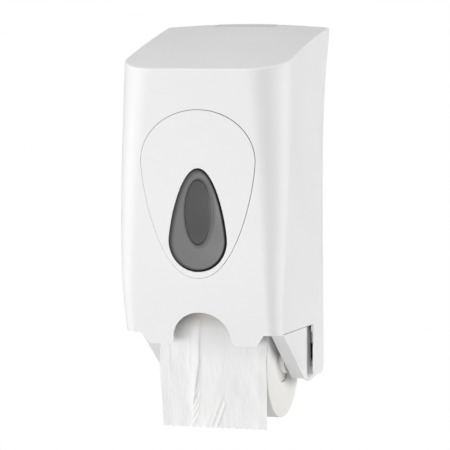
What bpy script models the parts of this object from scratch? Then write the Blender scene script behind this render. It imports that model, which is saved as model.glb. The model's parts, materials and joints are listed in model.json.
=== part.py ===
"""Double toilet roll dispenser for a wall: a hinged cover over two stacked rolls.

The origin is the middle of the back plate's wall face. +Y points into the wall,
+Z up, and the user stands on the -Y side. All sizes are in metres.
"""

import math

import bmesh
import bpy
from mathutils import Matrix, Vector

# Rolls, cores and spindles
ROLL_RADIUS = 0.0519
ROLL_HALF = 0.0505
ROLL_EDGE = 0.0008
LOWER_ROLL_Z = -0.1428
ROLL_STACK_GAP = 0.0040
ROLL_PLATE_GAP = 0.0012
CORE_RADIUS = 0.0200
CORE_WALL = 0.0005
CORE_INSET = 0.0003
SPINDLE_END = 0.0100
SPINDLE_WAIST_STEP = 0.0072
SPINDLE_SHOULDER_STEP = 0.0077
SPINDLE_SHOULDER = 0.0038
GUDGEON_RADIUS = 0.0055
GUDGEON_CHAMFER = 0.0008
RUNNING_GAP = 0.0003

# Loose end of the paper
PAPER_INSET = 0.0005
PAPER_THICKNESS = 0.0005
PAPER_HANG = 0.0562
PAPER_WRAP_DEG = 80.0
PAPER_CREASE_X = -0.0110
PAPER_CREASE_WIDTH = 0.0130
PAPER_CREASE_HEIGHT = 0.0030
PAPER_WAVE = 0.0012
PAPER_WAVE_LENGTH = 0.0420

# Side rails, from the rolls outwards
RAIL_FOOT_GAP = 0.0055
RAIL_FLANGE_GAP = 0.0046
RAIL_FLANGE_THICKNESS = 0.0016
GUIDE_GAP = 0.0078
GUIDE_DEPTH = 0.0063
GUIDE_WALL = 0.0017
RAIL_WALL = 0.0022
GUIDE_GATE_DROP = 0.0015
GUIDE_GATE_HEIGHT = 0.0415
RAIL_STRIP_WIDTH = 0.0146
RAIL_STRIP_RISE = 0.0620
RAIL_STRIP_DROP = 0.0270
RAIL_TOP_RISE = 0.0310
RAIL_LEAD_IN = 0.0070
RAIL_BOTTOM_DROP = 0.0215
RAIL_HEEL_RISE = 0.0022
RAIL_KNEE_DROP = 0.0173
RAIL_KNEE_LAG = 0.0116
RAIL_TOE_LAG = 0.0065
RAIL_NOSE_GAP = 0.0277
RAIL_NOSE_DROP = 0.0014
RAIL_BROW_GAP = 0.0298
RAIL_BROW_RISE = 0.0076
RAIL_FOOT_THICKNESS = 0.0024
RAIL_FOOT_TOP_DROP = 0.0060
RAIL_FOOT_LOW_RISE = 0.0198
RAIL_SCREW_INSET = 0.0045
RAIL_SCREW_TOP_DROP = 0.0120
RAIL_SCREW_LOW_RISE = 0.0245
WINDOW_WIDTH = 0.0145
WINDOW_LAG = 0.0046
WINDOW_RISE = 0.0388
WINDOW_DROP = 0.0082
WINDOW_STEP = 0.0050
WINDOW_STEP_RISE = 0.0243

# Housing, set off from the rails and the rolls
WALL_GAP = 0.0010
COVER_WALL = 0.0024
COVER_SIDE_GAP = 0.0027
FRONT_ROOM = 0.0439
TOP_ROOM = 0.1051
ROOF_RISE = 0.0368
ROOF_BULGE = 0.0080
ROOF_CROWN = 0.0034
ROOF_EDGE = 0.0015
FRONT_FLARE = 0.0060
FRONT_TOP_TAPER = 0.0006
FRONT_LOW_TAPER = 0.0065
FRONT_WIDE_DROP = 0.0796
TOP_FLARE = 0.0061
TOP_FLARE_DROP = 0.0850
LOW_FLARE = 0.0014
CORNER_TOP = 0.0332
CORNER_LOW = 0.0102
FRONT_BEND_RISE = 0.0167
FRONT_BEND_RADIUS = 0.2111

# Lower edge of the cover
TAB_RISE = 0.0209
TAB_SLOPE = 0.0075
SIDE_EDGE_GAP = 0.0065
SIDE_EDGE_RISE = 0.0103
ARCH_HALF = 0.0265
ARCH_HEIGHT = 0.0236
ARCH_FLARE = 0.0060
ARM_REACH = 0.0248
ARM_TOE_RADIUS = 0.0060
ARM_REBATE = 0.0090
ARM_REBATE_SKIN = 0.0007

# Cover hinge
HINGE_Y = -0.0085
HINGE_DROP = 0.0082
HINGE_PIN_RADIUS = 0.0025
HINGE_PAD_RADIUS = 0.0065
HINGE_SOCKET_SKIN = 0.0012
HINGE_FLANGE_RADIUS = 0.0045
HINGE_FLANGE = 0.0015

# Pear shaped surround and the smoked lens in it
PEAR_SIDE_MARGIN = 0.0249
PEAR_TOP_MARGIN = 0.0353
PEAR_UP = 0.0453
PEAR_DOWN = 0.1032
PEAR_DOWN_SHARE = 1.45
PEAR_SIDE_SHARE = 2.2
SHUT_GAP = 0.0004
SURROUND_THICKNESS = 0.0013
SEAT_WIDTH = 0.0024
LENS_LOW_MARGIN = 0.0056
LENS_UP = 0.0640
LENS_DOWN = 0.0275
LENS_UP_SHARE = 1.4
LENS_WIDTH_SHARE = 0.51
LENS_RECESS = 0.0016
LENS_CROWN = 0.0010
COLLAR_WALL = 0.0018
COLLAR_DEPTH = 0.0030
THUMB_OVAL_HALF = 0.0120
THUMB_OVAL_UP = 0.0284
THUMB_OVAL_MARGIN = 0.0104
THUMB_OVAL_RECESS = 0.0002
RETAINER_THICKNESS = 0.0016
RETAINER_LIP = 0.0030

# Back plate
PLATE_THICKNESS = 0.0025
PLATE_SIDE_INSET = 0.0040
PLATE_TOP_DROP = 0.0070
PLATE_LOW_RISE = 0.0045
PLATE_CORNER = 0.0080
WALL_SCREW_HOLE = 0.0026
WALL_SCREW_HALF = 0.0350
WALL_SCREW_TOP_DROP = 0.0170
WALL_SCREW_LOW_RISE = 0.0690
WALL_BOSS_RADIUS = 0.0070
WALL_BOSS = 0.0015

# Catches that hold the reserve roll
CATCH_PIVOT_BACK = 0.0162
CATCH_PIVOT_DROP = 0.0140
CATCH_THICKNESS = 0.0030
CATCH_HUB_RADIUS = 0.0050
CATCH_NOSE_DEPTH = 0.0050
CATCH_HEEL_LEAD = 0.0086
CATCH_PIN_RADIUS = 0.0020
CATCH_PIN_HEAD_RADIUS = 0.0040
CATCH_PIN_HEAD = 0.0012

# Latch at the top
NOTCH_HALF = 0.0287
NOTCH_DEPTH = 0.0120
LATCH_TRAVEL = 0.0042
LATCH_CAP_GAP = 0.0005
LATCH_CAP_DEPTH = 0.0055
LATCH_STEM_INSET = 0.0017
LATCH_STEM_LENGTH = 0.0230
LATCH_STEM_FRONT_GAP = 0.0014
LATCH_STEM_REAR_GAP = 0.0011
LATCH_ARM_INSET = 0.0090
LATCH_ARM_DROP = 0.0160
LATCH_ARM_THICKNESS = 0.0030
LATCH_TOOTH_CLEARANCE = 0.0012
LATCH_TOOTH_THICKNESS = 0.0025
LATCH_TOOTH_CHAMFER = 0.0012
CATCH_RIB_SIDE = 0.0040
CATCH_RIB_LEAD = 0.0022
CATCH_RIB_THICKNESS = 0.0020
CATCH_RIB_GAP = 0.0012
LATCH_BOX_SIDE = 0.0028
LATCH_BOX_LEAD = 0.0005
LATCH_BOX_WALL = 0.0023
LATCH_SPRING_ROOM = 0.0120
LATCH_STOP_GAP = 0.0008
LATCH_SILL_DROP = 0.0090
LATCH_EAR = 0.0080
LATCH_EAR_RISE = 0.0060
LATCH_EAR_HEIGHT = 0.0120
SPRING_INSET = 0.0070
SPRING_SIDE_GAP = 0.00055
SPRING_WIRE = 0.0004
SPRING_TURNS = 5

# Small screws
SCREW_RADIUS = 0.0015
SCREW_HEAD_RADIUS = 0.0032
SCREW_HEAD = 0.0020
SCREW_TIP_Y = -0.0004
SCREW_SOCKET_RADIUS = 0.0013
SCREW_SOCKET = 0.0011

# How far cutters run past what they cut, and how deep joined solids lap
OVERRUN = 0.0100
LAP = 0.0005

# Fineness of the facets
CORNER_STEPS = 8
SIDE_STEPS = 5
WIDTH_STEPS = 9
BEND_STEPS = 5
ARC_STEPS = 8
PEAR_STEPS = 48
LENS_STEPS = 40
ROLL_STEPS = 48
ROUND_STEPS = 20
SMALL_STEPS = 12
SPRING_STEPS = 9
PAPER_COLUMNS = 24
PAPER_ROWS = 16
SMOOTH_ANGLE = math.radians(32.0)

# Derived: widths, from the rolls out to the cover
CORE_HALF = ROLL_HALF - CORE_INSET
PAPER_HALF = ROLL_HALF - PAPER_INSET
RAIL_FOOT_INNER_X = ROLL_HALF + RAIL_FOOT_GAP
RAIL_FLANGE_INNER_X = ROLL_HALF + RAIL_FLANGE_GAP
RAIL_SCREW_X = RAIL_FOOT_INNER_X + RAIL_SCREW_INSET
GUIDE_INNER_X = ROLL_HALF + GUIDE_GAP
RAIL_INNER_X = GUIDE_INNER_X + GUIDE_DEPTH
RAIL_OUTER_X = RAIL_INNER_X + RAIL_WALL
GUDGEON_END_X = RAIL_INNER_X - RUNNING_GAP
PLATE_HALF = RAIL_OUTER_X - PLATE_SIDE_INSET
REAR_HALF = RAIL_OUTER_X + COVER_SIDE_GAP + COVER_WALL
REAR_HALF_TOP = REAR_HALF + TOP_FLARE
FRONT_HALF = REAR_HALF + FRONT_FLARE
SIDE_EDGE_HALF = ROLL_HALF + SIDE_EDGE_GAP
TAB_HALF = SIDE_EDGE_HALF - TAB_SLOPE
PEAR_HALF = FRONT_HALF - PEAR_SIDE_MARGIN
LENS_HALF = LENS_WIDTH_SHARE * PEAR_HALF

# Derived: depths, from the wall to the front
PLATE_FACE_Y = -PLATE_THICKNESS
RAIL_REAR_Y = PLATE_FACE_Y - RUNNING_GAP
FOOT_FACE_Y = RAIL_REAR_Y - RAIL_FOOT_THICKNESS
ROLL_Y = PLATE_FACE_Y - ROLL_PLATE_GAP - ROLL_RADIUS
HOUSING_DEPTH = ROLL_RADIUS - ROLL_Y + FRONT_ROOM
FRONT_Y = -HOUSING_DEPTH
COVER_REAR_Y = -WALL_GAP
ARM_REAR_RADIUS = -HINGE_Y - WALL_GAP
ARM_FRONT_Y = HINGE_Y - ARM_REACH
SLOT_HALF = GUDGEON_RADIUS + RUNNING_GAP
RAIL_KNEE_Y = ROLL_Y + RAIL_KNEE_LAG
RAIL_TOE_Y = ARM_FRONT_Y + RAIL_TOE_LAG
WINDOW_FRONT_Y = ARM_FRONT_Y + WINDOW_LAG
WINDOW_REAR_Y = WINDOW_FRONT_Y + WINDOW_WIDTH
CATCH_PIVOT_Y = ROLL_Y + CATCH_PIVOT_BACK
CATCH_HEEL_Y = CATCH_PIVOT_Y - CATCH_HEEL_LEAD

# Derived: heights, from the lower roll up to the roof
RESERVE_ROLL_Z = LOWER_ROLL_Z + 2 * ROLL_RADIUS + ROLL_STACK_GAP
PAPER_END_Z = LOWER_ROLL_Z - PAPER_HANG
HINGE_Z = LOWER_ROLL_Z - HINGE_DROP
ARM_BOTTOM_Z = HINGE_Z - ARM_REAR_RADIUS
TAB_Z = LOWER_ROLL_Z + TAB_RISE
SIDE_EDGE_Z = TAB_Z + SIDE_EDGE_RISE
FRONT_TOP_Z = RESERVE_ROLL_Z + ROLL_RADIUS + TOP_ROOM
FLARE_START_Z = FRONT_TOP_Z - TOP_FLARE_DROP
FRONT_WIDE_Z = FRONT_TOP_Z - FRONT_WIDE_DROP
ROOF_REAR_Z = FRONT_TOP_Z + ROOF_RISE
RAIL_BOTTOM_Z = LOWER_ROLL_Z - RAIL_BOTTOM_DROP
RAIL_KNEE_Z = LOWER_ROLL_Z - RAIL_KNEE_DROP
RAIL_NOSE_Z = SIDE_EDGE_Z - RAIL_NOSE_DROP
RAIL_BROW_Z = SIDE_EDGE_Z + RAIL_BROW_RISE
RAIL_STRIP_TOP_Z = RESERVE_ROLL_Z + RAIL_STRIP_RISE
RAIL_STRIP_LOW_Z = RESERVE_ROLL_Z - RAIL_STRIP_DROP
RAIL_TOP_Z = RAIL_STRIP_TOP_Z + RAIL_TOP_RISE
RAIL_FOOT_TOP_Z = RAIL_TOP_Z - RAIL_FOOT_TOP_DROP
RAIL_FOOT_LOW_Z = RAIL_BOTTOM_Z + RAIL_FOOT_LOW_RISE
RAIL_SCREW_TOP_Z = RAIL_FOOT_TOP_Z - RAIL_SCREW_TOP_DROP
RAIL_SCREW_LOW_Z = RAIL_FOOT_LOW_Z + RAIL_SCREW_LOW_RISE
GUIDE_GATE_TOP_Z = RESERVE_ROLL_Z - GUIDE_GATE_DROP
GUIDE_GATE_LOW_Z = GUIDE_GATE_TOP_Z - GUIDE_GATE_HEIGHT
WINDOW_TOP_Z = LOWER_ROLL_Z + WINDOW_RISE
WINDOW_LOW_Z = LOWER_ROLL_Z - WINDOW_DROP
WINDOW_STEP_Z = LOWER_ROLL_Z + WINDOW_STEP_RISE
CATCH_PIVOT_Z = RESERVE_ROLL_Z - CATCH_PIVOT_DROP
CATCH_TOP_Z = RESERVE_ROLL_Z - SLOT_HALF

# Derived: the catch's nose, which clears the channel's front wall as it swings down
CATCH_REACH = CATCH_PIVOT_BACK + SLOT_HALF - 2 * RUNNING_GAP
CATCH_NOSE_Y = CATCH_PIVOT_Y - math.sqrt(CATCH_REACH ** 2 - (CATCH_TOP_Z - CATCH_PIVOT_Z) ** 2)

# Derived: the pear and the lens, from the front's top edge down
PEAR_WIDE_Z = FRONT_TOP_Z - PEAR_TOP_MARGIN - PEAR_UP
PEAR_LOW_Z = PEAR_WIDE_Z - PEAR_DOWN
FRONT_BEND_Z = PEAR_LOW_Z + FRONT_BEND_RISE
LENS_WIDE_Z = PEAR_LOW_Z + LENS_LOW_MARGIN + LENS_DOWN
THUMB_OVAL_Z = LENS_WIDE_Z + LENS_UP - THUMB_OVAL_MARGIN - THUMB_OVAL_UP

# Derived: the latch, from the roof down
NOTCH_FRONT_Y = COVER_REAR_Y - NOTCH_DEPTH
LATCH_CAP_LOW_Z = ROOF_REAR_Z + ROOF_CROWN - LATCH_CAP_DEPTH
LATCH_STEM_HALF = NOTCH_HALF - LATCH_STEM_INSET
LATCH_STEM_LOW_Z = LATCH_CAP_LOW_Z - LATCH_STEM_LENGTH
LATCH_ARM_HALF = LATCH_STEM_HALF - LATCH_ARM_INSET
LATCH_ARM_LOW_Z = LATCH_CAP_LOW_Z - LATCH_ARM_DROP
CATCH_RIB_HALF = LATCH_ARM_HALF + CATCH_RIB_SIDE
CATCH_RIB_REAR_Y = NOTCH_FRONT_Y - CATCH_RIB_LEAD
CATCH_RIB_LOW_Z = LATCH_ARM_LOW_Z + LATCH_ARM_THICKNESS + CATCH_RIB_GAP
LATCH_TOOTH_TOP_Z = CATCH_RIB_LOW_Z + LATCH_TRAVEL - LATCH_TOOTH_CLEARANCE
LATCH_BOX_HALF = NOTCH_HALF + LATCH_BOX_SIDE
LATCH_BOX_FRONT_Y = NOTCH_FRONT_Y - LATCH_BOX_LEAD
LATCH_BOX_TOP_Z = LATCH_CAP_LOW_Z - LATCH_TRAVEL - LATCH_STOP_GAP
LATCH_BOX_LOW_Z = LATCH_STEM_LOW_Z - LATCH_SPRING_ROOM
LATCH_SILL_Z = LATCH_ARM_LOW_Z - LATCH_SILL_DROP
LATCH_EAR_LOW_Z = LATCH_BOX_LOW_Z + LATCH_EAR_RISE
WELL_FRONT_Y = LATCH_BOX_FRONT_Y + LATCH_BOX_WALL
WELL_REAR_Y = RAIL_REAR_Y - LATCH_BOX_WALL
LATCH_STEM_FRONT_Y = WELL_FRONT_Y + LATCH_STEM_FRONT_GAP
LATCH_STEM_REAR_Y = WELL_REAR_Y - LATCH_STEM_REAR_GAP
SPRING_X = LATCH_STEM_HALF - SPRING_INSET
SPRING_Y = (WELL_FRONT_Y + WELL_REAR_Y) / 2
SPRING_RADIUS = (WELL_REAR_Y - WELL_FRONT_Y) / 2 - SPRING_WIRE - SPRING_SIDE_GAP

# Derived: the back plate
PLATE_TOP_Z = LATCH_CAP_LOW_Z - PLATE_TOP_DROP
PLATE_BOTTOM_Z = RAIL_BOTTOM_Z + PLATE_LOW_RISE
WALL_SCREW_TOP_Z = LATCH_BOX_LOW_Z - WALL_SCREW_TOP_DROP
WALL_SCREW_LOW_Z = PLATE_BOTTOM_Z + WALL_SCREW_LOW_RISE
SCREW_HOLE_RADIUS = SCREW_RADIUS + RUNNING_GAP


def clear_scene():
    for item in list(bpy.data.objects):
        bpy.data.objects.remove(item, do_unlink=True)


def make_material(name, colour, roughness, metallic=0.0, alpha=1.0):
    material = bpy.data.materials.new(name)
    material.use_nodes = True
    shader = material.node_tree.nodes["Principled BSDF"]
    shader.inputs["Base Color"].default_value = (*colour, 1.0)
    shader.inputs["Roughness"].default_value = roughness
    shader.inputs["Metallic"].default_value = metallic
    shader.inputs["Alpha"].default_value = alpha
    material.diffuse_color = (*colour, alpha)
    return material


def make_object(name, bm, material=None):
    """One object from a closed mesh, faces out, with its soft edges smoothed."""
    bmesh.ops.remove_doubles(bm, verts=bm.verts, dist=LAP / 1000)
    bmesh.ops.recalc_face_normals(bm, faces=bm.faces)
    mesh = bpy.data.meshes.new(name)
    bm.to_mesh(mesh)
    bm.free()
    item = bpy.data.objects.new(name, mesh)
    bpy.context.scene.collection.objects.link(item)
    if material:
        mesh.materials.append(material)
    return item


def smooth(item):
    item.data.shade_smooth()
    item.data.set_sharp_from_angle(angle=SMOOTH_ANGLE)
    return item


def boolean(item, tool, operation):
    """Join, cut or keep with another solid, and use the other solid up."""
    modifier = item.modifiers.new(operation, "BOOLEAN")
    modifier.operation = operation
    modifier.solver = "EXACT"
    modifier.object = tool
    graph = bpy.context.evaluated_depsgraph_get()
    mesh = bpy.data.meshes.new_from_object(item.evaluated_get(graph))
    item.modifiers.clear()
    item.data = mesh
    bpy.data.objects.remove(tool, do_unlink=True)
    return item


def join(item, *tools):
    for tool in tools:
        boolean(item, tool, "UNION")
    return item


def cut(item, *tools):
    for tool in tools:
        boolean(item, tool, "DIFFERENCE")
    return item


def keep(item, tool):
    return boolean(item, tool, "INTERSECT")


def arc(centre, radius, start, end, steps):
    """Points on an arc in a plane, angles in degrees, both ends included."""
    points = []
    for step in range(steps + 1):
        angle = math.radians(start + (end - start) * step / steps)
        points.append((centre[0] + radius * math.cos(angle), centre[1] + radius * math.sin(angle)))
    return points


def prism(name, outline, low, high, axis, material=None):
    """A flat outline drawn out along an axis from low to high."""
    places = {
        "X": lambda a, b, c: (c, a, b),
        "Y": lambda a, b, c: (a, c, b),
        "Z": lambda a, b, c: (a, b, c),
    }
    place = places[axis]
    bm = bmesh.new()
    near = [bm.verts.new(place(a, b, low)) for a, b in outline]
    far = [bm.verts.new(place(a, b, high)) for a, b in outline]
    bm.faces.new(near)
    bm.faces.new(far)
    count = len(outline)
    for index in range(count):
        after = (index + 1) % count
        bm.faces.new((near[index], near[after], far[after], far[index]))
    return make_object(name, bm, material)


def rectangle(a_low, a_high, b_low, b_high):
    return [(a_low, b_low), (a_high, b_low), (a_high, b_high), (a_low, b_high)]


def block(name, xs, ys, zs, material=None):
    return prism(name, rectangle(*ys, *zs), min(xs), max(xs), "X", material)


def disc(name, centre, radius, low, high, axis, steps=SMALL_STEPS, material=None):
    return prism(name, arc(centre, radius, 0, 360, steps)[:-1], low, high, axis, material)


def turned(name, profile, axis, centre, steps, material=None, tube=False):
    """A profile of (place along the axis, radius) turned about the axis.

    A tube's profile is a closed loop. Any other profile starts and ends on the axis.
    """
    places = {
        "X": lambda along, a, b: (along, centre[0] + a, centre[1] + b),
        "Y": lambda along, a, b: (centre[0] + a, along, centre[1] + b),
    }
    place = places[axis]
    bm = bmesh.new()
    rings = []
    for along, radius in profile:
        if radius == 0:
            rings.append([bm.verts.new(place(along, 0, 0))])
            continue
        ring = []
        for step in range(steps):
            angle = 2 * math.pi * step / steps
            ring.append(bm.verts.new(place(along, radius * math.cos(angle), radius * math.sin(angle))))
        rings.append(ring)
    pairs = list(zip(rings, rings[1:]))
    if tube:
        pairs.append((rings[-1], rings[0]))
    for first, second in pairs:
        for step in range(steps):
            after = (step + 1) % steps
            if len(first) == 1:
                bm.faces.new((first[0], second[step], second[after]))
            elif len(second) == 1:
                bm.faces.new((first[step], first[after], second[0]))
            else:
                bm.faces.new((first[step], first[after], second[after], second[step]))
    return make_object(name, bm, material)


def blend(low, high, share):
    return low + (high - low) * share


def clamp_share(value):
    return min(max(value, 0.0), 1.0)


def depth_share(y):
    return (y - FRONT_Y) / HOUSING_DEPTH


def front_half(z):
    """Half the front's width: widest in the upper half, drawn in above and below."""
    up = clamp_share((z - FRONT_WIDE_Z) / (FRONT_TOP_Z - FRONT_WIDE_Z))
    down = clamp_share((FRONT_WIDE_Z - z) / (FRONT_WIDE_Z - TAB_Z))
    return FRONT_HALF - FRONT_TOP_TAPER * up ** 2 - FRONT_LOW_TAPER * down ** 2


def rear_half(z):
    up = clamp_share((z - FLARE_START_Z) / (ROOF_REAR_Z - FLARE_START_Z))
    down = clamp_share(z / ARM_BOTTOM_Z)
    return REAR_HALF + TOP_FLARE * up ** 2 + LOW_FLARE * down


def side_x(y, z):
    return blend(front_half(z), rear_half(z), depth_share(y) ** 2)


def corner_radius(z):
    share = clamp_share((z - TAB_Z) / (FRONT_TOP_Z - TAB_Z))
    return blend(CORNER_LOW, CORNER_TOP, share)


def front_y(z):
    """The front is upright at the top and bends back on a wide arc lower down."""
    drop = max(FRONT_BEND_Z - z, 0.0)
    return FRONT_Y + FRONT_BEND_RADIUS - math.sqrt(FRONT_BEND_RADIUS ** 2 - drop ** 2)


def roof_side_z(y):
    share = depth_share(y)
    return FRONT_TOP_Z + ROOF_RISE * share + ROOF_BULGE * share * (1.0 - share)


def roof_z(x, y):
    """The roof rises towards the wall and is crowned across its width."""
    share = depth_share(y)
    return roof_side_z(y) + ROOF_CROWN * share * (1.0 - (x / REAR_HALF_TOP) ** 2)


def plan_rows(height, inset, rear):
    """Half widths of the cover at rows of points from its front to its rear.

    height gives a row's z from its y, so one set of rows can follow the roof.
    """
    z = height(FRONT_Y)
    start = front_y(z) + inset
    radius = corner_radius(z) - inset
    rows = []
    for step in range(CORNER_STEPS + 1):
        angle = math.radians(90) * step / CORNER_STEPS
        y = start + radius * (1 - math.cos(angle))
        rows.append((y, side_x(y, height(y)) - inset - radius * (1 - math.sin(angle))))
    for step in range(1, SIDE_STEPS + 1):
        y = blend(start + radius, rear, step / SIDE_STEPS)
        rows.append((y, side_x(y, height(y)) - inset))
    return rows


def cover_block(name, inset, rear, bottom, material=None):
    """The solid outer form of the cover, or the same form set in by a wall."""
    edges = [(ROOF_EDGE, 0.0), (ROOF_EDGE * 0.3, ROOF_EDGE * 0.3), (0.0, ROOF_EDGE)]
    if inset:
        edges = [(inset, 0.0)]
    bends = [blend(FRONT_BEND_Z, TAB_Z, step / BEND_STEPS) for step in range(BEND_STEPS, -1, -1)]
    flares = [blend(FLARE_START_Z, FRONT_TOP_Z, share) for share in (0.0, 0.25, 0.5, 0.78)]
    layers = []
    for level in [bottom, *bends, *flares]:
        rows = plan_rows(lambda y, level=level: level, inset, rear)
        layers.append((rows, lambda x, y, level=level: level))
    for drop, edge in edges:
        rows = plan_rows(roof_side_z, inset + edge, rear - edge)
        layers.append((rows, lambda x, y, drop=drop: roof_z(x, y) - drop))
    bm = bmesh.new()
    last = len(layers[0][0]) - 1
    grids = []
    for number, (rows, height) in enumerate(layers):
        capped = number in (0, len(layers) - 1)
        grid = {}
        for row, (y, half) in enumerate(rows):
            for column in range(WIDTH_STEPS + 1):
                rim = row in (0, last) or column in (0, WIDTH_STEPS)
                if rim or capped:
                    x = half * (2 * column / WIDTH_STEPS - 1)
                    grid[row, column] = bm.verts.new((x, y, height(x, y)))
        grids.append(grid)
        if capped:
            for row in range(last):
                for column in range(WIDTH_STEPS):
                    corners = ((row, column), (row, column + 1), (row + 1, column + 1), (row + 1, column))
                    bm.faces.new([grid[corner] for corner in corners])
    rim = [(0, column) for column in range(WIDTH_STEPS)]
    rim += [(row, WIDTH_STEPS) for row in range(last)]
    rim += [(last, column) for column in range(WIDTH_STEPS, 0, -1)]
    rim += [(row, 0) for row in range(last, 0, -1)]
    for lower, upper in zip(grids, grids[1:]):
        for here, after in zip(rim, rim[1:] + rim[:1]):
            bm.faces.new((lower[here], lower[after], upper[after], upper[here]))
    bmesh.ops.triangulate(bm, faces=bm.faces)
    return make_object(name, bm, material)


def egg(half, wide_z, up, down, up_share, down_share, side_share, grow, steps):
    """An egg outline: two half curves that meet at its widest height."""
    points = []
    for step in range(steps):
        angle = 2 * math.pi * (step + 0.5) / steps
        level = math.sin(angle)
        if level >= 0:
            reach, share, side = up, up_share, 2.0
        else:
            reach, share, side = down, down_share, side_share
        rise = math.copysign(abs(level) ** (2.0 / share), level)
        x = math.copysign(abs(math.cos(angle)) ** (2.0 / side), math.cos(angle))
        points.append(((half + grow) * x, wide_z + (reach + grow) * rise))
    return points


def pear(grow):
    sizes = (PEAR_HALF, PEAR_WIDE_Z, PEAR_UP, PEAR_DOWN)
    return egg(*sizes, 2.0, PEAR_DOWN_SHARE, PEAR_SIDE_SHARE, grow, PEAR_STEPS)


def drop_shape(grow):
    return egg(LENS_HALF, LENS_WIDE_Z, LENS_UP, LENS_DOWN, LENS_UP_SHARE, 2.0, 2.0, grow, LENS_STEPS)


def lower_front_outline():
    """What is cut away below the cover's front: side edges, tab and arch."""
    arch_z = TAB_Z + ARCH_FLARE
    right = [(SIDE_EDGE_HALF, SIDE_EDGE_Z), (TAB_HALF, TAB_Z)]
    right += arc((ARCH_HALF + ARCH_FLARE, arch_z), ARCH_FLARE, 270, 180, ARC_STEPS // 2)
    for step in range(1, ARC_STEPS):
        angle = math.radians(90) * step / ARC_STEPS
        right.append((ARCH_HALF * math.cos(angle), arch_z + ARCH_HEIGHT * math.sin(angle)))
    left = [(-x, z) for x, z in reversed(right)]
    wide = REAR_HALF_TOP + OVERRUN
    low = RAIL_BOTTOM_Z - OVERRUN
    outline = [(wide, low), (wide, SIDE_EDGE_Z), *right, (0.0, arch_z + ARCH_HEIGHT), *left]
    return outline + [(-wide, SIDE_EDGE_Z), (-wide, low)]


def lower_arm_outline():
    """What is cut away below the arms, with the heel rounded about the hinge."""
    toe = (ARM_FRONT_Y + ARM_TOE_RADIUS, ARM_BOTTOM_Z + ARM_TOE_RADIUS)
    front = ARM_FRONT_Y - LAP
    outline = [(front, RAIL_BOTTOM_Z - OVERRUN), (front, toe[1])]
    outline += arc(toe, ARM_TOE_RADIUS, 180, 270, ARC_STEPS // 2)
    outline += arc((HINGE_Y, HINGE_Z), ARM_REAR_RADIUS, 270, 360, ARC_STEPS)
    return outline + [(COVER_REAR_Y + OVERRUN, HINGE_Z), (COVER_REAR_Y + OVERRUN, RAIL_BOTTOM_Z - OVERRUN)]


def hinge_socket_end(side_gap):
    """How far out the blind socket in an arm reaches, less a gap."""
    return side_x(HINGE_Y, HINGE_Z) - HINGE_SOCKET_SKIN - side_gap


def build_cover(material):
    bottom = RAIL_BOTTOM_Z - OVERRUN
    cover = cover_block("cover_shell", 0.0, COVER_REAR_Y, bottom + LAP, material)
    cut(cover, cover_block("inside", COVER_WALL, COVER_REAR_Y + OVERRUN, bottom))
    cut(cover, prism("below_front", lower_front_outline(), FRONT_Y - OVERRUN, ARM_FRONT_Y, "Y"))
    wide = REAR_HALF_TOP + OVERRUN
    cut(cover, prism("below_arms", lower_arm_outline(), -wide, wide, "X"))
    notch = rectangle(-NOTCH_HALF, NOTCH_HALF, NOTCH_FRONT_Y, COVER_REAR_Y + OVERRUN)
    cut(cover, prism("latch_notch", notch, FRONT_TOP_Z, ROOF_REAR_Z + ROOF_CROWN + OVERRUN, "Z"))
    rib_front = CATCH_RIB_REAR_Y - CATCH_RIB_THICKNESS
    rib_top = roof_z(0.0, rib_front) - COVER_WALL / 2
    rib_x = (-CATCH_RIB_HALF, CATCH_RIB_HALF)
    join(cover, block("rib", rib_x, (rib_front, CATCH_RIB_REAR_Y), (CATCH_RIB_LOW_Z, rib_top)))
    recess = prism("recess", pear(0.0), FRONT_Y - OVERRUN, FRONT_Y + OVERRUN, "Y")
    seat = SURROUND_THICKNESS + RUNNING_GAP
    cut(cover, cut(recess, cover_block("seat", seat, COVER_REAR_Y, bottom)))
    cut(cover, prism("pear_hole", pear(-SEAT_WIDTH), FRONT_Y - OVERRUN, FRONT_Y + OVERRUN, "Y"))
    collar_room = drop_shape(COLLAR_WALL + RUNNING_GAP)
    cut(cover, prism("collar_room", collar_room, FRONT_Y - OVERRUN, FRONT_Y + OVERRUN, "Y"))
    for side in (-1, 1):
        near = RAIL_OUTER_X + RUNNING_GAP
        wall = side_x(HINGE_Y, HINGE_Z) - COVER_WALL / 2
        centre = (HINGE_Y, HINGE_Z)
        ends = sorted((side * near, side * wall))
        join(cover, disc("pad", centre, HINGE_PAD_RADIUS, *ends, "X", ROUND_STEPS))
        ends = sorted((side * (near - OVERRUN), side * hinge_socket_end(0.0)))
        cut(cover, disc("socket", centre, HINGE_PIN_RADIUS + RUNNING_GAP, *ends, "X", ROUND_STEPS))
        thin = side_x(ARM_FRONT_Y, WINDOW_STEP_Z) - ARM_REBATE_SKIN
        ends = sorted((side * near, side * thin))
        rebate_y = (ARM_FRONT_Y - OVERRUN, ARM_FRONT_Y + ARM_REBATE)
        cut(cover, block("rebate", ends, rebate_y, (RAIL_BOTTOM_Z - OVERRUN, WINDOW_STEP_Z)))
    return smooth(cover)


def build_surround(material):
    bottom = RAIL_BOTTOM_Z
    surround = prism("window_surround", pear(-SHUT_GAP), FRONT_Y - OVERRUN, FRONT_Y + OVERRUN, "Y", material)
    keep(surround, cover_block("face", 0.0, COVER_REAR_Y, bottom))
    cut(surround, cover_block("behind", SURROUND_THICKNESS, COVER_REAR_Y, bottom - LAP))
    collar_rear = FRONT_Y + SURROUND_THICKNESS + COLLAR_DEPTH
    collar_front = FRONT_Y + SURROUND_THICKNESS - LAP
    join(surround, prism("collar", drop_shape(COLLAR_WALL), collar_front, collar_rear, "Y"))
    cut(surround, prism("opening", drop_shape(0.0), FRONT_Y - OVERRUN, collar_rear + OVERRUN, "Y"))
    return smooth(surround)


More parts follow.
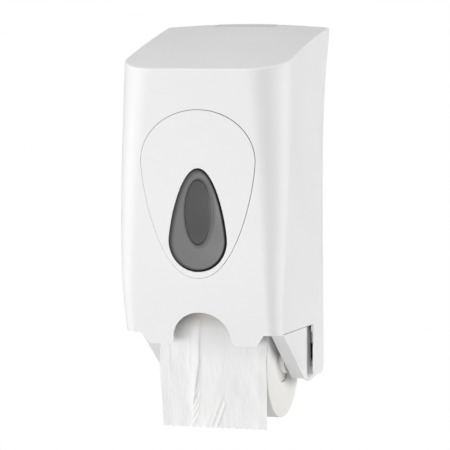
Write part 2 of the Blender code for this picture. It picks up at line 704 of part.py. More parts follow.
def build_lens(material):
    """The smoked lens: a low dome inside its rim, with a raised oval pad."""
    outline = drop_shape(-RUNNING_GAP)
    rear = FRONT_Y + SURROUND_THICKNESS + COLLAR_DEPTH
    rim = FRONT_Y + LENS_RECESS
    bm = bmesh.new()
    rings = [[bm.verts.new((x, rear, z)) for x, z in outline]]
    shares = (1.0, 0.93, 0.82, 0.64, 0.38)
    for share in shares:
        y = rim - LENS_CROWN * (1 - share ** 2)
        middle = LENS_WIDE_Z
        rings.append([bm.verts.new((x * share, y, middle + (z - middle) * share)) for x, z in outline])
    bm.faces.new(rings[0])
    bm.faces.new(rings[-1])
    for first, second in zip(rings, rings[1:]):
        for index in range(LENS_STEPS):
            after = (index + 1) % LENS_STEPS
            bm.faces.new((first[index], first[after], second[after], second[index]))
    lens = make_object("window_lens", bm, material)
    oval = []
    for step in range(ROUND_STEPS):
        angle = 2 * math.pi * step / ROUND_STEPS
        oval.append((THUMB_OVAL_HALF * math.cos(angle), THUMB_OVAL_Z + THUMB_OVAL_UP * math.sin(angle)))
    join(lens, prism("oval", oval, FRONT_Y + THUMB_OVAL_RECESS, rim + LAP, "Y"))
    return smooth(lens)


def build_retainer(material):
    front = FRONT_Y + SURROUND_THICKNESS + COLLAR_DEPTH + RUNNING_GAP
    rear = front + RETAINER_THICKNESS
    ring = prism("lens_retainer", drop_shape(COLLAR_WALL), front, rear, "Y", material)
    hole = drop_shape(-RETAINER_LIP)
    cut(ring, prism("hole", hole, front - OVERRUN, rear + OVERRUN, "Y"))
    return smooth(ring)


def rounded_rectangle(half, low, high, radius):
    outline = arc((half - radius, high - radius), radius, 0, 90, ARC_STEPS // 2)
    outline += arc((radius - half, high - radius), radius, 90, 180, ARC_STEPS // 2)
    outline += arc((radius - half, low + radius), radius, 180, 270, ARC_STEPS // 2)
    return outline + arc((half - radius, low + radius), radius, 270, 360, ARC_STEPS // 2)


def rail_screw_places():
    for side in (-1, 1):
        for z in (RAIL_SCREW_LOW_Z, RAIL_SCREW_TOP_Z):
            yield side * RAIL_SCREW_X, z


def ear_screw_places():
    for side in (-1, 1):
        yield side * (LATCH_BOX_HALF + LATCH_EAR / 2), LATCH_EAR_LOW_Z + LATCH_EAR_HEIGHT / 2


def build_back_plate(material):
    outline = rounded_rectangle(PLATE_HALF, PLATE_BOTTOM_Z, PLATE_TOP_Z, PLATE_CORNER)
    plate = prism("back_plate", outline, PLATE_FACE_Y, 0.0, "Y", material)
    for x in (-WALL_SCREW_HALF, WALL_SCREW_HALF):
        for z in (WALL_SCREW_LOW_Z, WALL_SCREW_TOP_Z):
            top = PLATE_FACE_Y - WALL_BOSS
            join(plate, disc("boss", (x, z), WALL_BOSS_RADIUS, top, PLATE_FACE_Y + LAP, "Y", ROUND_STEPS))
            cut(plate, disc("hole", (x, z), WALL_SCREW_HOLE, top - OVERRUN, OVERRUN, "Y"))
    for place in [*rail_screw_places(), *ear_screw_places()]:
        cut(plate, disc("hole", place, SCREW_HOLE_RADIUS, PLATE_FACE_Y - OVERRUN, OVERRUN, "Y"))
    return smooth(plate)


def build_screw(name, place, seat_y, material):
    """A round headed screw along Y with its head on the user's side."""
    head = seat_y - RUNNING_GAP
    top = head - SCREW_HEAD
    profile = [
        (top + SCREW_SOCKET, 0.0),
        (top + SCREW_SOCKET, SCREW_SOCKET_RADIUS),
        (top, SCREW_SOCKET_RADIUS),
        (top, SCREW_HEAD_RADIUS * 0.7),
        (top + SCREW_HEAD * 0.4, SCREW_HEAD_RADIUS),
        (head, SCREW_HEAD_RADIUS),
        (head, SCREW_RADIUS),
        (SCREW_TIP_Y - SCREW_RADIUS / 2, SCREW_RADIUS),
        (SCREW_TIP_Y, SCREW_RADIUS / 2),
        (SCREW_TIP_Y, 0.0),
    ]
    return smooth(turned(name, profile, "Y", place, SMALL_STEPS, material))


def rail_nose():
    """The rail's foremost low corner, set back from the cover's bent front."""
    return front_y(RAIL_NOSE_Z) + RAIL_NOSE_GAP, RAIL_NOSE_Z


def rail_outline():
    strip_front = ROLL_Y - SLOT_HALF - RAIL_STRIP_WIDTH
    brow_y = front_y(RAIL_BROW_Z) + RAIL_BROW_GAP
    return [
        (RAIL_REAR_Y, RAIL_BOTTOM_Z + RAIL_HEEL_RISE),
        (RAIL_REAR_Y, RAIL_TOP_Z),
        (ROLL_Y + SLOT_HALF + RAIL_LEAD_IN, RAIL_TOP_Z),
        (ROLL_Y + SLOT_HALF, RAIL_TOP_Z - RAIL_LEAD_IN),
        (ROLL_Y + SLOT_HALF, RAIL_STRIP_TOP_Z),
        (strip_front + RAIL_LEAD_IN / 2, RAIL_STRIP_TOP_Z),
        (strip_front, RAIL_STRIP_TOP_Z - RAIL_LEAD_IN / 2),
        (strip_front, RAIL_STRIP_LOW_Z),
        (brow_y, RAIL_BROW_Z),
        rail_nose(),
        (RAIL_KNEE_Y, RAIL_KNEE_Z),
        (RAIL_TOE_Y, RAIL_BOTTOM_Z),
    ]


def rail_flange_outline():
    """A thin band along the rail's slanted front edge."""
    nose = Vector(rail_nose())
    knee = Vector((RAIL_KNEE_Y, RAIL_KNEE_Z))
    run = knee - nose
    inward = Vector((-run.y, run.x)).normalized() * RAIL_FLANGE_THICKNESS
    return [tuple(nose), tuple(knee), tuple(knee + inward), tuple(nose + inward)]


def slot_outline(grow, top, lead):
    """The upright channel a gudgeon drops down, round at the bottom, or its walls."""
    reach = SLOT_HALF + grow
    outline = arc((ROLL_Y, LOWER_ROLL_Z), reach, 180, 360, ARC_STEPS)
    outline += [(ROLL_Y + reach, top), (ROLL_Y - reach - lead, top)]
    return outline + [(ROLL_Y - reach, top - 2 * lead - LAP)]


def window_outline():
    """An upright window whose front edge steps back in its lower part."""
    step_y = WINDOW_FRONT_Y + WINDOW_STEP
    upper = [(WINDOW_REAR_Y, WINDOW_TOP_Z), (WINDOW_FRONT_Y, WINDOW_TOP_Z), (WINDOW_FRONT_Y, WINDOW_STEP_Z)]
    return upper + [(step_y, WINDOW_STEP_Z), (step_y, WINDOW_LOW_Z), (WINDOW_REAR_Y, WINDOW_LOW_Z)]


def build_rail(name, side, material):
    inner, outer = RAIL_INNER_X, RAIL_OUTER_X

    def span(near, far):
        return sorted((side * near, side * far))

    rail = prism(name, rail_outline(), *span(inner, outer), "X", material)
    walls = slot_outline(GUIDE_WALL, RAIL_STRIP_TOP_Z, 0.0)
    join(rail, prism("guide", walls, *span(GUIDE_INNER_X, inner + LAP), "X"))
    channel = slot_outline(0.0, RAIL_STRIP_TOP_Z + OVERRUN, RAIL_LEAD_IN)
    cut(rail, prism("channel", channel, *span(GUIDE_INNER_X - OVERRUN, inner), "X"))
    gate_y = (ROLL_Y, ROLL_Y + SLOT_HALF + GUIDE_WALL + LAP)
    gate_z = (GUIDE_GATE_LOW_Z, GUIDE_GATE_TOP_Z)
    cut(rail, block("gate", span(GUIDE_INNER_X - OVERRUN, inner), gate_y, gate_z))
    window = window_outline()
    cut(rail, prism("window", window, *span(inner - OVERRUN, outer + OVERRUN), "X"))
    join(rail, prism("flange", rail_flange_outline(), *span(RAIL_FLANGE_INNER_X, inner + LAP), "X"))
    foot_y = (FOOT_FACE_Y, RAIL_REAR_Y)
    join(rail, block("foot", span(RAIL_FOOT_INNER_X, inner + LAP), foot_y, (RAIL_FOOT_LOW_Z, RAIL_FOOT_TOP_Z)))
    for z in (RAIL_SCREW_LOW_Z, RAIL_SCREW_TOP_Z):
        place = (side * RAIL_SCREW_X, z)
        cut(rail, disc("hole", place, SCREW_HOLE_RADIUS, FOOT_FACE_Y - OVERRUN, OVERRUN, "Y"))
    for centre, radius in (
        ((HINGE_Y, HINGE_Z), HINGE_PIN_RADIUS + RUNNING_GAP),
        ((CATCH_PIVOT_Y, CATCH_PIVOT_Z), CATCH_PIN_RADIUS + RUNNING_GAP),
    ):
        cut(rail, disc("hole", centre, radius, *span(inner - OVERRUN, outer + OVERRUN), "X", ROUND_STEPS))
    return smooth(rail)


def build_pin(name, side, centre, radius, head_radius, head, seat_x, end_x, material):
    """A headed pin through a rail: the head lies inside, against seat_x."""
    inner = seat_x - RUNNING_GAP - head
    profile = [
        (side * inner, 0.0),
        (side * inner, head_radius),
        (side * (inner + head), head_radius),
        (side * (inner + head), radius),
        (side * (end_x - radius / 4), radius),
        (side * end_x, radius * 0.75),
        (side * end_x, 0.0),
    ]
    return smooth(turned(name, profile, "X", centre, SMALL_STEPS, material))


def build_catch(name, side, material):
    """A swinging finger whose flat top carries a gudgeon of the reserve roll."""
    top = CATCH_TOP_Z
    low = top - CATCH_NOSE_DEPTH
    hub = (CATCH_PIVOT_Y, CATCH_PIVOT_Z)
    outline = [(CATCH_NOSE_Y, top), (CATCH_NOSE_Y, low + CATCH_NOSE_DEPTH / 2), (CATCH_HEEL_Y, CATCH_PIVOT_Z)]
    outline += arc(hub, CATCH_HUB_RADIUS, 215, 420, ARC_STEPS)
    outline += [(CATCH_HEEL_Y, top)]
    outer = RAIL_INNER_X - RUNNING_GAP
    ends = sorted((side * (outer - CATCH_THICKNESS), side * outer))
    catch = prism(name, outline, *ends, "X", material)
    hole = CATCH_PIN_RADIUS + RUNNING_GAP
    cut(catch, disc("hole", hub, hole, ends[0] - OVERRUN, ends[1] + OVERRUN, "X", ROUND_STEPS))
    return smooth(catch)


def build_latch_box(material):
    half, wall = LATCH_BOX_HALF, LATCH_BOX_WALL
    front, rear = LATCH_BOX_FRONT_Y, RAIL_REAR_Y
    low, top = LATCH_BOX_LOW_Z, LATCH_BOX_TOP_Z
    box = block("latch_housing", (-half, half), (front, rear), (low, top), material)
    well_x = (wall - half, half - wall)
    cut(box, block("well", well_x, (WELL_FRONT_Y, WELL_REAR_Y), (low + wall, top + OVERRUN)))
    sill_half = LATCH_ARM_HALF + wall
    sill_y = (front - OVERRUN, WELL_FRONT_Y + LAP)
    cut(box, block("sill", (-sill_half, sill_half), sill_y, (LATCH_SILL_Z, top + OVERRUN)))
    ear_z = (LATCH_EAR_LOW_Z, LATCH_EAR_LOW_Z + LATCH_EAR_HEIGHT)
    for x, z in ear_screw_places():
        near = math.copysign(half - LAP, x)
        far = math.copysign(half + LATCH_EAR, x)
        join(box, block("ear", (near, far), (FOOT_FACE_Y, rear), ear_z))
        cut(box, disc("hole", (x, z), SCREW_HOLE_RADIUS, FOOT_FACE_Y - OVERRUN, OVERRUN, "Y"))
    return smooth(box)


def build_latch_bar(material):
    """The press bar: a cap flush with the roof, a stem and a hooked arm."""
    top = ROOF_REAR_Z + ROOF_CROWN + OVERRUN
    half = NOTCH_HALF - LATCH_CAP_GAP
    cap_y = (NOTCH_FRONT_Y + LATCH_CAP_GAP, COVER_REAR_Y)
    bar = block("latch_bar", (-half, half), cap_y, (LATCH_CAP_LOW_Z, top), material)
    keep(bar, cover_block("roof", 0.0, COVER_REAR_Y + OVERRUN, RAIL_BOTTOM_Z))
    stem_y = (LATCH_STEM_FRONT_Y, LATCH_STEM_REAR_Y)
    stem_z = (LATCH_STEM_LOW_Z, LATCH_CAP_LOW_Z + LAP)
    join(bar, block("stem", (-LATCH_STEM_HALF, LATCH_STEM_HALF), stem_y, stem_z))
    tooth_rear = CATCH_RIB_REAR_Y - CATCH_RIB_THICKNESS - RUNNING_GAP
    tooth_front = tooth_rear - LATCH_TOOTH_THICKNESS
    arm_top = LATCH_ARM_LOW_Z + LATCH_ARM_THICKNESS
    hook = [
        (LATCH_STEM_FRONT_Y + LAP, LATCH_ARM_LOW_Z),
        (LATCH_STEM_FRONT_Y + LAP, arm_top),
        (tooth_rear, arm_top),
        (tooth_rear, LATCH_TOOTH_TOP_Z),
        (tooth_front + LATCH_TOOTH_CHAMFER, LATCH_TOOTH_TOP_Z),
        (tooth_front, LATCH_TOOTH_TOP_Z - LATCH_TOOTH_CHAMFER),
        (tooth_front, LATCH_ARM_LOW_Z),
    ]
    join(bar, prism("hook", hook, -LATCH_ARM_HALF, LATCH_ARM_HALF, "X"))
    return smooth(bar)


def build_spring(name, x, material):
    """A coil between the floor of the latch housing and the foot of the bar."""
    low = LATCH_BOX_LOW_Z + LATCH_BOX_WALL + SPRING_WIRE + RUNNING_GAP
    high = LATCH_STEM_LOW_Z - SPRING_WIRE - RUNNING_GAP
    curve = bpy.data.curves.new(name, "CURVE")
    curve.dimensions = "3D"
    curve.bevel_depth = SPRING_WIRE
    curve.bevel_resolution = 1
    curve.use_fill_caps = True
    count = SPRING_TURNS * SPRING_STEPS + 1
    spline = curve.splines.new("POLY")
    spline.points.add(count - 1)
    for index in range(count):
        angle = 2 * math.pi * index / SPRING_STEPS
        z = blend(low, high, index / (count - 1))
        across = SPRING_RADIUS * math.cos(angle)
        spline.points[index].co = (x + across, SPRING_Y + SPRING_RADIUS * math.sin(angle), z, 1.0)
    holder = bpy.data.objects.new(name, curve)
    bpy.context.scene.collection.objects.link(holder)
    graph = bpy.context.evaluated_depsgraph_get()
    bm = bmesh.new()
    bm.from_mesh(holder.evaluated_get(graph).to_mesh())
    bpy.data.objects.remove(holder, do_unlink=True)
    return smooth(make_object(name, bm, material))


def build_spindle(name, z, material):
    """A waisted spindle that fills both ends of a core, with a gudgeon each side."""
    end = CORE_RADIUS - CORE_WALL - RUNNING_GAP
    shoulder = CORE_HALF + SPINDLE_SHOULDER
    half = [
        (GUDGEON_END_X, 0.0),
        (GUDGEON_END_X, GUDGEON_RADIUS - GUDGEON_CHAMFER),
        (GUDGEON_END_X - GUDGEON_CHAMFER, GUDGEON_RADIUS),
        (shoulder, GUDGEON_RADIUS),
        (shoulder, end - SPINDLE_SHOULDER_STEP),
        (CORE_HALF, end - SPINDLE_SHOULDER_STEP),
        (CORE_HALF - GUDGEON_CHAMFER, end),
        (CORE_HALF - SPINDLE_END, end),
        (CORE_HALF - SPINDLE_END - GUDGEON_CHAMFER, end - SPINDLE_WAIST_STEP),
    ]
    profile = [(-x, radius) for x, radius in half] + half[::-1]
    return smooth(turned(name, profile, "X", (ROLL_Y, z), ROUND_STEPS, material))


def build_core(name, z, material):
    inner = CORE_RADIUS - CORE_WALL
    loop = [(-CORE_HALF, inner), (-CORE_HALF, CORE_RADIUS), (CORE_HALF, CORE_RADIUS), (CORE_HALF, inner)]
    return smooth(turned(name, loop, "X", (ROLL_Y, z), ROLL_STEPS, material, tube=True))


def build_roll(name, z, material):
    bore = CORE_RADIUS + RUNNING_GAP
    shelf = ROLL_RADIUS - ROLL_EDGE
    inside = ROLL_HALF - ROLL_EDGE
    loop = [
        (-ROLL_HALF, bore),
        (-ROLL_HALF, shelf),
        (-inside, ROLL_RADIUS),
        (inside, ROLL_RADIUS),
        (ROLL_HALF, shelf),
        (ROLL_HALF, bore),
    ]
    return smooth(turned(name, loop, "X", (ROLL_Y, z), ROLL_STEPS, material, tube=True))


def paper_lift(x, share):
    """How far the loose paper stands forward: one crease, growing downwards."""
    lean = PAPER_CREASE_X * (0.4 + 0.6 * share)
    crease = math.exp(-((x - lean) / PAPER_CREASE_WIDTH) ** 2)
    wave = 0.5 + 0.5 * math.sin(2 * math.pi * (x / PAPER_WAVE_LENGTH + share * 0.5))
    return (PAPER_CREASE_HEIGHT * crease + PAPER_WAVE * wave) * share ** 1.5


def build_paper_tail(material):
    """The loose end: it wraps the front of the roll and then hangs free."""
    radius = ROLL_RADIUS + RUNNING_GAP
    wrap = radius * math.radians(PAPER_WRAP_DEG)
    length = wrap + LOWER_ROLL_Z - PAPER_END_Z
    bm = bmesh.new()
    sheets = []
    for thickness in (0.0, PAPER_THICKNESS):
        grid = []
        for row in range(PAPER_ROWS + 1):
            share = row / PAPER_ROWS
            travel = length * share
            angle = max(wrap - travel, 0.0) / radius
            hang = max(travel - wrap, 0.0)
            line = []
            for column in range(PAPER_COLUMNS + 1):
                x = PAPER_HALF * (2 * column / PAPER_COLUMNS - 1)
                reach = radius + thickness + paper_lift(x, share)
                y = ROLL_Y - reach * math.cos(angle)
                z = LOWER_ROLL_Z + reach * math.sin(angle) - hang
                line.append(bm.verts.new((x, y, z)))
            grid.append(line)
        sheets.append(grid)
    back, front = sheets
    for row in range(PAPER_ROWS):
        for column in range(PAPER_COLUMNS):
            for grid in sheets:
                upper, under = grid[row], grid[row + 1]
                bm.faces.new((upper[column], upper[column + 1], under[column + 1], under[column]))
    for row in range(PAPER_ROWS):
        for column in (0, PAPER_COLUMNS):
            bm.faces.new((back[row][column], back[row + 1][column], front[row + 1][column], front[row][column]))
    for column in range(PAPER_COLUMNS):
        for row in (0, PAPER_ROWS):
            bm.faces.new((back[row][column], back[row][column + 1], front[row][column + 1], front[row][column]))
    return smooth(make_object("paper_tail", bm, material))


def make_axis(name, x, y, z):
    axis = bpy.data.objects.new(name, None)
    axis.location = (x, y, z)
    bpy.context.scene.collection.objects.link(axis)
    return axis


def hang(axis, *items):
    """Put pieces under the empty on their joint's axis, each where it was built."""
    for item in items:
        item.data.transform(Matrix.Translation(-Vector(axis.location)))
        item.parent = axis


def main():
    clear_scene()
    white = make_material("cover_white", (0.86, 0.86, 0.86), 0.32)
    chassis = make_material("chassis_white", (0.78, 0.78, 0.77), 0.45)
    smoke = make_material("lens_smoke", (0.05, 0.05, 0.055), 0.08, alpha=0.55)
    grey = make_material("latch_grey", (0.80, 0.80, 0.80), 0.40)
    steel = make_material("steel", (0.62, 0.62, 0.63), 0.35, metallic=1.0)
    tissue = make_material("tissue", (0.90, 0.88, 0.86), 0.95)
    card = make_material("card", (0.55, 0.43, 0.31), 0.90)

    build_back_plate(chassis)
    build_latch_box(chassis)
    for number, place in enumerate(rail_screw_places(), start=1):
        build_screw(f"rail_screw_{number}", place, FOOT_FACE_Y, steel)
    for number, place in enumerate(ear_screw_places(), start=1):
        build_screw(f"latch_screw_{number}", place, FOOT_FACE_Y, steel)

    cover_axis = make_axis("cover_axis", 0.0, HINGE_Y, HINGE_Z)
    hang(cover_axis, build_cover(white), build_surround(white), build_lens(smoke), build_retainer(chassis))

    socket_end = hinge_socket_end(RUNNING_GAP)
    for word, side in (("left", -1), ("right", 1)):
        build_rail(f"{word}_rail", side, chassis)
        centre = (HINGE_Y, HINGE_Z)
        sizes = (HINGE_PIN_RADIUS, HINGE_FLANGE_RADIUS, HINGE_FLANGE, RAIL_INNER_X, socket_end)
        build_pin(f"{word}_hinge_pin", side, centre, *sizes, steel)
        centre = (CATCH_PIVOT_Y, CATCH_PIVOT_Z)
        seat = RAIL_INNER_X - RUNNING_GAP - CATCH_THICKNESS
        sizes = (CATCH_PIN_RADIUS, CATCH_PIN_HEAD_RADIUS, CATCH_PIN_HEAD, seat, RAIL_OUTER_X)
        build_pin(f"{word}_catch_pin", side, centre, *sizes, steel)
        catch_axis = make_axis(f"{word}_catch_axis", side * seat, *centre)
        hang(catch_axis, build_catch(f"{word}_catch", side, grey))

    latch_axis = make_axis("latch_axis", 0.0, LATCH_STEM_FRONT_Y, LATCH_STEM_LOW_Z)
    hang(latch_axis, build_latch_bar(grey))
    build_spring("left_latch_spring", -SPRING_X, steel)
    build_spring("right_latch_spring", SPRING_X, steel)

    for word, z in (("lower", LOWER_ROLL_Z), ("reserve", RESERVE_ROLL_Z)):
        roll_axis = make_axis(f"{word}_roll_axis", 0.0, ROLL_Y, z)
        hang(roll_axis, build_spindle(f"{word}_spindle", z, grey))
        hang(roll_axis, build_core(f"{word}_core", z, card), build_roll(f"{word}_roll", z, tissue))
        if word == "lower":
            hang(roll_axis, build_paper_tail(tissue))


main()
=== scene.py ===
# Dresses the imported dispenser: finer shells, a smoked lens, paper and studio light

import json
import math

import bmesh
import bpy
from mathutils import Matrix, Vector, noise


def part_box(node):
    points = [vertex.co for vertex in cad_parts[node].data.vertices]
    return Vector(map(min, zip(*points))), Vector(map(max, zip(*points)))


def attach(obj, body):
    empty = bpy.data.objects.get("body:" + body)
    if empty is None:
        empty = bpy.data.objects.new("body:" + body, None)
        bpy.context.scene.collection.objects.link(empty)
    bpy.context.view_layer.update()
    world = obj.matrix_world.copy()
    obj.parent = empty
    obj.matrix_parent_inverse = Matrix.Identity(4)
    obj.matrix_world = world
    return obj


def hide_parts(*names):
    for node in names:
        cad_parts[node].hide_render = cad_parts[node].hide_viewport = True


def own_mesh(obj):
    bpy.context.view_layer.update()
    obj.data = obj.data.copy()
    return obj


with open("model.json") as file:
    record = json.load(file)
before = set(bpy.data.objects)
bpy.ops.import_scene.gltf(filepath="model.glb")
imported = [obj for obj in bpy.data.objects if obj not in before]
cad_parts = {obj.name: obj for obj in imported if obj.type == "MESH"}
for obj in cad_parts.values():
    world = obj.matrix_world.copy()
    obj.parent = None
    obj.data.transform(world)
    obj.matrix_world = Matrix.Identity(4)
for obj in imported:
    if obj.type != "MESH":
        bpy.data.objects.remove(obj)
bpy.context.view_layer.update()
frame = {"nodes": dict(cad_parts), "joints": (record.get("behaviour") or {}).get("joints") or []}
nodes = frame["nodes"]
joints = {joint["name"]: joint for joint in frame["joints"]}
scene = bpy.context.scene
print("frame loaded with", len(nodes), "nodes")


# Studio

studio = {
    "cameraPlace": (0.7460, -2.4264, 0.1465),
    "cameraTiltDeg": 86.15,
    "cameraTurnDeg": 17.58,
    "lens": 219.0,
    "sensor": 36.0,
    "aim": (0.0, -0.08, -0.02),
    "floorZ": -0.75,
    "floorHalf": 1.10,
    "backdrop": 1.0,
    "ambient": 0.10,
}

softboxes = {  # place, width, height, watts
    "leftSoftbox": ((-1.95, -1.00, 0.00), 1.0, 1.4, 21.0),
    "frontSoftbox": ((0.00, -2.55, -0.16), 1.4, 0.5, 30.0),
    "rightSoftbox": ((1.83, 0.57, 0.15), 1.2, 1.4, 29.3),
    "topSoftbox": ((-0.20, -0.40, 1.90), 1.2, 1.2, 20.5),
}


def makeCamera():
    data = bpy.data.cameras.new("studioCamera")
    data.lens = studio["lens"]
    data.sensor_width = studio["sensor"]
    camera = bpy.data.objects.new("studioCamera", data)
    camera.location = studio["cameraPlace"]
    tilt = math.radians(studio["cameraTiltDeg"])
    camera.rotation_euler = (tilt, 0.0, math.radians(studio["cameraTurnDeg"]))
    scene.collection.objects.link(camera)
    scene.camera = camera


def makeSoftbox(name, place, width, height, watts):
    data = bpy.data.lights.new(name, "AREA")
    data.shape = "RECTANGLE"
    data.size = width
    data.size_y = height
    data.energy = watts
    lamp = bpy.data.objects.new(name, data)
    lamp.location = place
    lamp.rotation_euler = (Vector(studio["aim"]) - Vector(place)).to_track_quat("-Z", "Y").to_euler()
    scene.collection.objects.link(lamp)


def makeWorld():
    world = bpy.data.worlds.new("studioWorld")
    world.use_nodes = True
    tree = world.node_tree
    tree.nodes.clear()
    out = tree.nodes.new("ShaderNodeOutputWorld")
    seen = tree.nodes.new("ShaderNodeBackground")
    seen.inputs["Strength"].default_value = studio["backdrop"]
    lit = tree.nodes.new("ShaderNodeBackground")
    lit.inputs["Strength"].default_value = studio["ambient"]
    for shader in (seen, lit):
        shader.inputs["Color"].default_value = (1.0, 1.0, 1.0, 1.0)
    path = tree.nodes.new("ShaderNodeLightPath")
    mix = tree.nodes.new("ShaderNodeMixShader")
    tree.links.new(path.outputs["Is Camera Ray"], mix.inputs["Fac"])
    tree.links.new(lit.outputs["Background"], mix.inputs[1])
    tree.links.new(seen.outputs["Background"], mix.inputs[2])
    tree.links.new(mix.outputs["Shader"], out.inputs["Surface"])
    scene.world = world
    scene.view_settings.view_transform = "Standard"


makeCamera()
makeWorld()
for boxName, boxFacts in softboxes.items():
    makeSoftbox(boxName, *boxFacts)
print("studio ready")


# Shader node groups

valueKind = "NodeSocketFloat"
heightAndMask = [("Height", valueKind), ("Mask", valueKind)]

patterns = {
    "grainShare": 0.35,
    "waveShare": 0.65,
    "waveMask": (0.35, 0.65),
    "toneMask": (0.35, 0.65),
    "fibreShare": 0.7,
    "fibreMask": (0.3, 0.7),
    "crepeShare": 0.3,
    "crepeFineness": 1.6,
    "ringMask": (0.3, 0.7),
    "ringWander": 0.0012,
    "ringWanderScale": 45.0,
}

shadeEdges = {  # where each painted shade begins and where it is full
    "pocketFacing": (0.6, 0.4),
    "pocketInner": (0.0596, 0.0616),
    "pocketOuter": (0.0667, 0.0666),
    "pocketFront": (-0.0152, -0.0148),
    "pocketLow": (-0.1500, -0.1450),
    "pocketTop": (-0.1035, -0.1045),
    "pocketWall": (-0.0130, -0.0125),
    "pocketSill": (-0.1300, -0.1315),
    "leanForward": (-0.25, -0.35),
    "leanDown": (-0.60, -0.75),
    "leanAcross": (-0.02, 0.02),
    "leanLeftShare": 0.45,
    "upperPaper": (-0.1105, -0.1020),
}


def newGroup(name, inputs, outputs):
    tree = bpy.data.node_groups.new(name, "ShaderNodeTree")
    for label, kind, value in inputs:
        socket = tree.interface.new_socket(name=label, in_out="INPUT", socket_type=kind)
        socket.default_value = value
    for label, kind in outputs:
        tree.interface.new_socket(name=label, in_out="OUTPUT", socket_type=kind)
    return tree, tree.nodes.new("NodeGroupInput"), tree.nodes.new("NodeGroupOutput")


def newShade(name):
    return newGroup(name, [("Depth", valueKind, 1.0)], [("Mask", valueKind)])


def feed(tree, value, socket):
    if isinstance(value, (int, float, tuple)):
        socket.default_value = value
    else:
        tree.links.new(value, socket)


def addMath(tree, operation, first, second):
    node = tree.nodes.new("ShaderNodeMath")
    node.operation = operation
    feed(tree, first, node.inputs[0])
    feed(tree, second, node.inputs[1])
    return node.outputs["Value"]


def addVector(tree, operation, first, second):
    node = tree.nodes.new("ShaderNodeVectorMath")
    node.operation = operation
    feed(tree, first, node.inputs[0])
    feed(tree, second, node.inputs[1])
    return node.outputs["Vector"]


def addProduct(tree, value, *others):
    for other in others:
        value = addMath(tree, "MULTIPLY", value, other)
    return value


def addBlend(tree, first, firstShare, second, secondShare):
    return addMath(tree, "ADD", addProduct(tree, first, firstShare), addProduct(tree, second, secondShare))


def addInverse(tree, value):
    return addMath(tree, "DIVIDE", 1.0, value)


def addRange(tree, value, low, high, toLow=0.0, toHigh=1.0):
    node = tree.nodes.new("ShaderNodeMapRange")
    tree.links.new(value, node.inputs["Value"])
    node.inputs["From Min"].default_value = low
    node.inputs["From Max"].default_value = high
    node.inputs["To Min"].default_value = toLow
    node.inputs["To Max"].default_value = toHigh
    return node.outputs["Result"]


def addEdge(tree, value, edge):
    return addRange(tree, value, *shadeEdges[edge])


def addNoise(tree, vector, scale, detail, roughness, dimensions="3D"):
    node = tree.nodes.new("ShaderNodeTexNoise")
    node.noise_dimensions = dimensions
    node.inputs["Detail"].default_value = detail
    node.inputs["Roughness"].default_value = roughness
    tree.links.new(vector, node.inputs["W" if dimensions == "1D" else "Vector"])
    feed(tree, scale, node.inputs["Scale"])
    return node.outputs["Fac"]


def addMix(tree, share, first, second):
    node = tree.nodes.new("ShaderNodeMix")
    node.data_type = "RGBA"
    feed(tree, share, node.inputs["Factor"])
    feed(tree, first, node.inputs["A"])
    feed(tree, second, node.inputs["B"])
    return node.outputs["Result"]


def addPlace(tree, output="Object"):
    return tree.nodes.new("ShaderNodeTexCoord").outputs[output]


def addAxes(tree, output="Object"):
    node = tree.nodes.new("ShaderNodeSeparateXYZ")
    tree.links.new(addPlace(tree, output), node.inputs["Vector"])
    return node.outputs["X"], node.outputs["Y"], node.outputs["Z"]


def buildMouldGrain():  # fine texture of a moulding and slow waves of its wall
    inputs = [("Grain Size", valueKind, 0.0006), ("Wave Size", valueKind, 0.03)]
    tree, given, made = newGroup("mouldGrain", inputs, heightAndMask)
    place = addPlace(tree)
    grain = addNoise(tree, place, addInverse(tree, given.outputs["Grain Size"]), detail=2.0, roughness=0.6)
    wave = addNoise(tree, place, addInverse(tree, given.outputs["Wave Size"]), detail=2.0, roughness=0.4)
    height = addBlend(tree, grain, patterns["grainShare"], wave, patterns["waveShare"])
    tree.links.new(height, made.inputs["Height"])
    tree.links.new(addRange(tree, wave, *patterns["waveMask"]), made.inputs["Mask"])
    return tree


def buildToneDrift():  # two close tones mixed by soft patches
    inputs = [
        ("Light", "NodeSocketColor", (0.9, 0.9, 0.9, 1.0)),
        ("Dark", "NodeSocketColor", (0.8, 0.8, 0.8, 1.0)),
        ("Patch Size", valueKind, 0.05),
    ]
    tree, given, made = newGroup("toneDrift", inputs, [("Color", "NodeSocketColor")])
    scale = addInverse(tree, given.outputs["Patch Size"])
    patches = addNoise(tree, addPlace(tree), scale, detail=4.0, roughness=0.55)
    share = addRange(tree, patches, *patterns["toneMask"])
    tree.links.new(addMix(tree, share, given.outputs["Light"], given.outputs["Dark"]), made.inputs["Color"])
    return tree


def buildPaperCrepe():  # long soft fibres and fine crepe of tissue
    inputs = [("Fibre Width", valueKind, 0.0011), ("Fibre Length", valueKind, 0.02)]
    tree, given, made = newGroup("paperCrepe", inputs, heightAndMask)
    place = addPlace(tree)
    across = addInverse(tree, given.outputs["Fibre Width"])
    along = addInverse(tree, given.outputs["Fibre Length"])
    stretch = tree.nodes.new("ShaderNodeCombineXYZ")
    for axis, value in (("X", across), ("Y", along), ("Z", along)):
        tree.links.new(value, stretch.inputs[axis])
    scaled = addVector(tree, "MULTIPLY", place, stretch.outputs["Vector"])
    fibres = addNoise(tree, scaled, 1.0, detail=3.0, roughness=0.6)
    finer = addProduct(tree, across, patterns["crepeFineness"])
    crepe = addNoise(tree, place, finer, detail=2.0, roughness=0.6)
    height = addBlend(tree, fibres, patterns["fibreShare"], crepe, patterns["crepeShare"])
    tree.links.new(height, made.inputs["Height"])
    tree.links.new(addRange(tree, fibres, *patterns["fibreMask"]), made.inputs["Mask"])
    return tree


